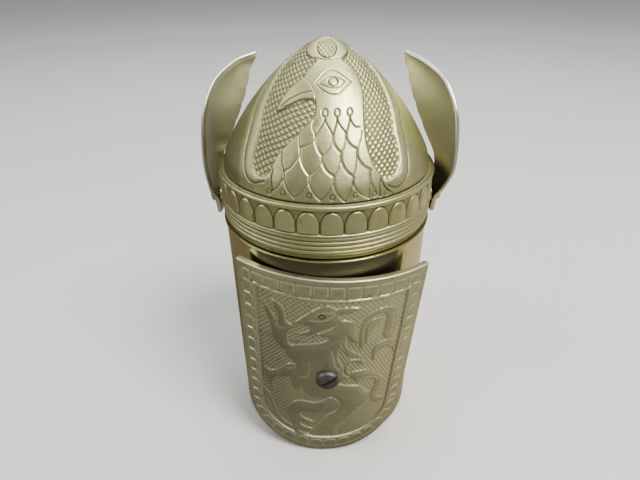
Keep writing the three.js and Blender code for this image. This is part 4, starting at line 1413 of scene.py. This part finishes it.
def shade_card():
    """A dark card on the floor, seen only in the metal's reflections, and paler on the right."""
    material = bpy.data.materials.new("shade_card")
    look = Look(material)
    at = look.split()
    length = look.node("ShaderNodeVectorMath", operation="LENGTH")
    look.link(look.place, length.inputs[0])
    away = length.outputs["Value"]
    ahead = look.node("ShaderNodeValToRGB")
    look.link(look.ramp(away, 0.0, CARD_REACH), ahead.inputs["Fac"])
    stops = ahead.color_ramp.elements
    stops[0].position, stops[0].color = 0.0, (0.14, 0.135, 0.12, 1)
    stops[1].position, stops[1].color = 1.0, (0.20, 0.19, 0.15, 1)
    for share, tone in CARD_TONES:
        stops.new(share).color = (tone, tone * 0.98, tone * 0.91, 1)
    right = look.ramp(at["X"], 0.01, 0.07)
    close = look.ramp(away, 0.115, 0.09)
    near = look.blend(look.times(right, close), ahead.outputs["Color"], (0.40, 0.37, 0.29))
    far = look.blend(right, (0.11, 0.09, 0.062), (0.38, 0.33, 0.255))
    look.set("Base Color", look.blend(look.ramp(at["Y"], -0.03, 0.01), near, far))
    look.set("Specular IOR Level", 0.0)
    look.set("Roughness", 0.9)
    card = floor_disc("shade_card", material, 0.9, 64, height=0.0004)
    for ray in ("camera", "diffuse", "shadow", "transmission", "volume_scatter"):
        setattr(card, f"visible_{ray}", False)


LAMPS_AIM = (0, 0, 0.07)


def lamp(name, where, size, power, tint=(1, 1, 1)):
    light = bpy.data.lights.new(name, "AREA")
    light.shape, light.size, light.size_y = "RECTANGLE", size, size
    light.energy, light.color = power, tint
    made = bpy.data.objects.new(name, light)
    made.location = where
    made.rotation_mode = "QUATERNION"
    made.rotation_quaternion = (Vector(LAMPS_AIM) - Vector(where)).to_track_quat("-Z", "Y")
    bpy.context.scene.collection.objects.link(made)


def lights():
    """A pale room, brighter behind and on the right, with three soft lamps."""
    world = bpy.data.worlds.new("room")
    bpy.context.scene.world = world
    look = Look(world, "Background", "Generated")
    at = look.split()
    behind, right = look.ramp(at["Y"], -0.9, 0.5, 0.6, 1.0), look.ramp(at["X"], -0.7, 0.5, 0.5, 1.0)
    look.set("Strength", look.times(behind, right))
    look.set("Color", (0.62, 0.66, 0.70))
    lamp("key", (0.34, -0.30, 0.75), 0.35, 11.0, (1, 0.98, 0.94))
    lamp("fill", (-0.6, -0.1, 0.5), 0.5, 2.2, (0.95, 0.98, 1))
    lamp("ceiling", (0.0, 0.35, 0.9), 0.8, 6.0)


CAMERA_PLACE = (-2.19, -115.98, 132.9)
CAMERA_TURN = (0.20, 32.19, -0.32)  # yaw, pitch down and roll in degrees
CAMERA_LENS = 25.31


def camera():
    """Looks down at the shield's side from just in front of the object."""
    yaw, pitch, roll = (math.radians(angle) for angle in CAMERA_TURN)
    level = math.cos(pitch)
    forward = Vector((math.sin(yaw) * level, math.cos(yaw) * level, -math.sin(pitch)))
    right = Vector((math.cos(yaw), -math.sin(yaw), 0))
    up = right.cross(forward)
    right, up = (
        right * math.cos(roll) + up * math.sin(roll),
        up * math.cos(roll) - right * math.sin(roll),
    )
    data = bpy.data.cameras.new("camera")
    data.lens, data.sensor_width = CAMERA_LENS, 36
    data.clip_start = 0.01
    made = bpy.data.objects.new("camera", data)
    turn = Matrix((right, up, -forward)).transposed().to_4x4()
    made.matrix_world = Matrix.Translation(Vector(CAMERA_PLACE) * MM) @ turn
    bpy.context.scene.collection.objects.link(made)
    bpy.context.scene.camera = made


canister_pieces()
cup_piece()
screw_pieces()
shield_piece()
collar_piece()
band_piece()
dome_piece()
wing_pieces()
stage()
shade_card()
lights()
camera()
